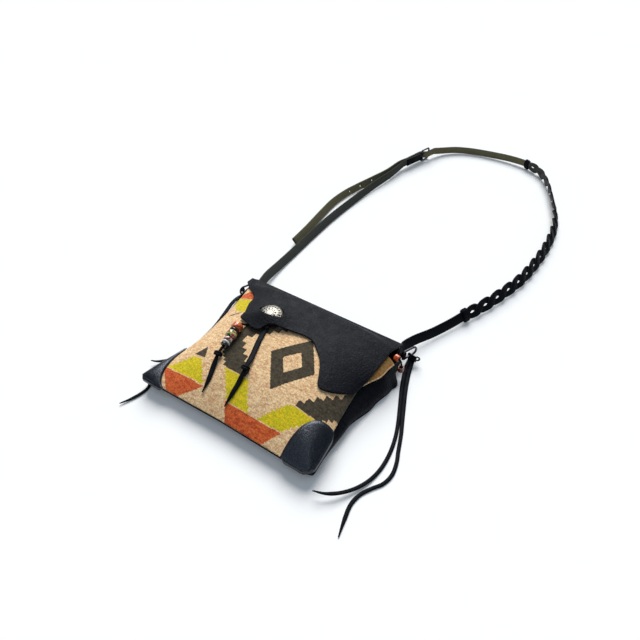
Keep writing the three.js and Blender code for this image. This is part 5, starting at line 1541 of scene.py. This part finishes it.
class BAG_OT_metal(bpy.types.Operator):
    """Buckle, prong, side rings with their tabs, and the lace knots on the rings"""

    bl_idname = "bag.metal"
    bl_label = "Metal and Tabs"

    def execute(self, context):
        dark = metal("gunmetal_plated_steel", linear("#4c4c52"), 0.34)
        grain = lace_material(context.scene.bag_looks)
        height = STRAP_WIDTH + 2 * BUCKLE_SIDE_GAP + 2 * BUCKLE_WIRE
        points = rounded_loop(BUCKLE_REACH, height, BUCKLE_CORNER, BUCKLE_CORNER,
                              lambda x, y: at_buckle(x, 0, BUCKLE_HEIGHT + y))
        piece("buckle_frame", *wire_loop(points, ACROSS_BUCKLE, BUCKLE_WIRE), dark)
        eye, loops = torus(BUCKLE_WIRE + BAR_CLEARANCE + PRONG_RADIUS, PRONG_RADIUS)
        rod = np.array([at_buckle(t, PRONG_PIN) for t in np.linspace(0, BUCKLE_REACH + 3, PRONG_STEPS)])
        widths = 2 * PRONG_RADIUS * np.linspace(1, PRONG_TIP, PRONG_STEPS)
        sections = np.array([oval(width, width) for width in widths])
        pin = swept(rod, ACROSS_BUCKLE, UP, sections)
        piece("buckle_prong", *merged([(eye + at_buckle(0, 0), loops), pin]), dark, body="prong")
        for side, word in SIDES:
            bar = self.tab(side, word, grain)
            self.ring(side, word, bar, dark, grain)
        return {"FINISHED"}

    def tab(self, side, word, material):
        """Tab rolled round the ring's bar; returns the bar's middle."""
        roll = RING_WIRE + BAR_CLEARANCE + TAB_THICKNESS / 2
        leg = TAB_LEG[side]
        bar = leg + roll
        path = [(leg, y) for y in np.linspace(TAB_FOOT_Y, RING_BAR_Y - 3, 8)]
        for angle in np.radians(np.linspace(180, -100, 36)):
            path.append((bar + roll * math.cos(angle), RING_BAR_Y + roll * math.sin(angle)))
        rows = [(side * x, y, RING_CENTRE_HEIGHT, 0.0) for x, y in path]
        band("ring_tab_" + word, rows, material, width=TAB_WIDTH, thickness=TAB_THICKNESS)
        return np.array([side * bar, RING_BAR_Y, RING_CENTRE_HEIGHT])

    def ring(self, side, word, bar, dark, grain):
        """Ring with the loop and knot of its laces; the right one also has the loop of a bow."""
        angle = RING_HEADING[side]
        heading = np.array([math.cos(angle), math.sin(angle), 0.0])
        aside = np.array([-heading[1], heading[0], 0.0])
        points = rounded_loop(RING_LENGTH - 2 * RING_WIRE, RING_HEIGHT - 2 * RING_WIRE, RING_NEAR_CORNER,
                              RING_FAR_CORNER, lambda x, y: bar + heading * x + UP * y)
        piece("ring_" + word, *wire_loop(points, aside, RING_WIRE), dark, body=word + "_ring")
        centre = bar + heading * (RING_LENGTH - KNOT_FROM_RING_END[side])
        centre[2] = RING_CENTRE_HEIGHT - RING_HEIGHT / 2 + RING_WIRE
        radius = RING_WIRE + BAR_CLEARANCE + LACE_THICKNESS / 2
        loop, loops = torus(radius, LACE_THICKNESS / 2)
        knot, knots = knot_body()
        spot = centre - aside * (radius + KNOT_RADIUS * 1.5) + UP
        turns = [(facing(loop, heading) + centre, loops), (facing(knot, heading) + spot, knots)]
        if side > 0:
            bow, bows = torus(BOW_RADIUS, LACE_THICKNESS / 2)
            bow = facing(bow * (1, BOW_NARROW, 1), unit(BOW_LEAN * heading + UP))
            turns.append((bow + spot + BOW_AHEAD * heading - BOW_ASIDE * aside, bows))
        piece("lace_knot_" + word, *merged(turns), grain, body=word + "_ring")


class BAG_OT_corner(bpy.types.Operator):
    """Short lace over the right gusset with two beads on it"""

    bl_idname = "bag.corner"
    bl_label = "Corner Beads"

    def execute(self, context):
        verts, faces, _ = ribbon(CORNER_ROUTE, lambda t: CORNER_LACE_WIDTH, CORNER_LACE_THICKNESS,
                                  steps=CORNER_LACE_STEPS)
        piece("corner_lace", verts, faces, lace_material(context.scene.bag_looks))
        for k, name in ((1, "corner_bead_upper"), (4, "corner_bead_lower")):
            along = unit(np.subtract(CORNER_ROUTE[k + 1], CORNER_ROUTE[k - 1]))
            add_bead(name, *CORNER_BEAD, CORNER_ROUTE[k], along)
        return {"FINISHED"}


class BAG_PT_panel(bpy.types.Panel):
    """Steps of the bag in the sidebar"""

    bl_idname = "BAG_PT_panel"
    bl_label = "Shoulder Bag"
    bl_space_type = "VIEW_3D"
    bl_region_type = "UI"
    bl_category = "Bag"

    def draw(self, context):
        looks = context.scene.bag_looks
        for key in looks.__annotations__:
            self.layout.prop(looks, key)
        for step in STEPS:
            self.layout.operator(step.bl_idname)


STEPS = (BAG_OT_stage, BAG_OT_laces, BAG_OT_thongs, BAG_OT_front, BAG_OT_shell, BAG_OT_flap, BAG_OT_straps,
         BAG_OT_metal, BAG_OT_corner)
CLASSES = (BagLooks, *STEPS, BAG_PT_panel)


def register():
    """Adds the classes and the scene's settings."""
    for kind in CLASSES:
        bpy.utils.register_class(kind)
    bpy.types.Scene.bag_looks = bpy.props.PointerProperty(type=BagLooks)


def unregister():
    """Takes the classes and the scene's settings away."""
    del bpy.types.Scene.bag_looks
    for kind in reversed(CLASSES):
        bpy.utils.unregister_class(kind)


def main():
    """Runs every step in order."""
    register()
    bpy.ops.bag.stage()
    bpy.ops.bag.laces()
    bpy.ops.bag.thongs()
    bpy.ops.bag.front()
    bpy.ops.bag.shell()
    bpy.ops.bag.flap()
    bpy.ops.bag.straps()
    bpy.ops.bag.metal()
    bpy.ops.bag.corner()


if __name__ == "__main__":
    main()
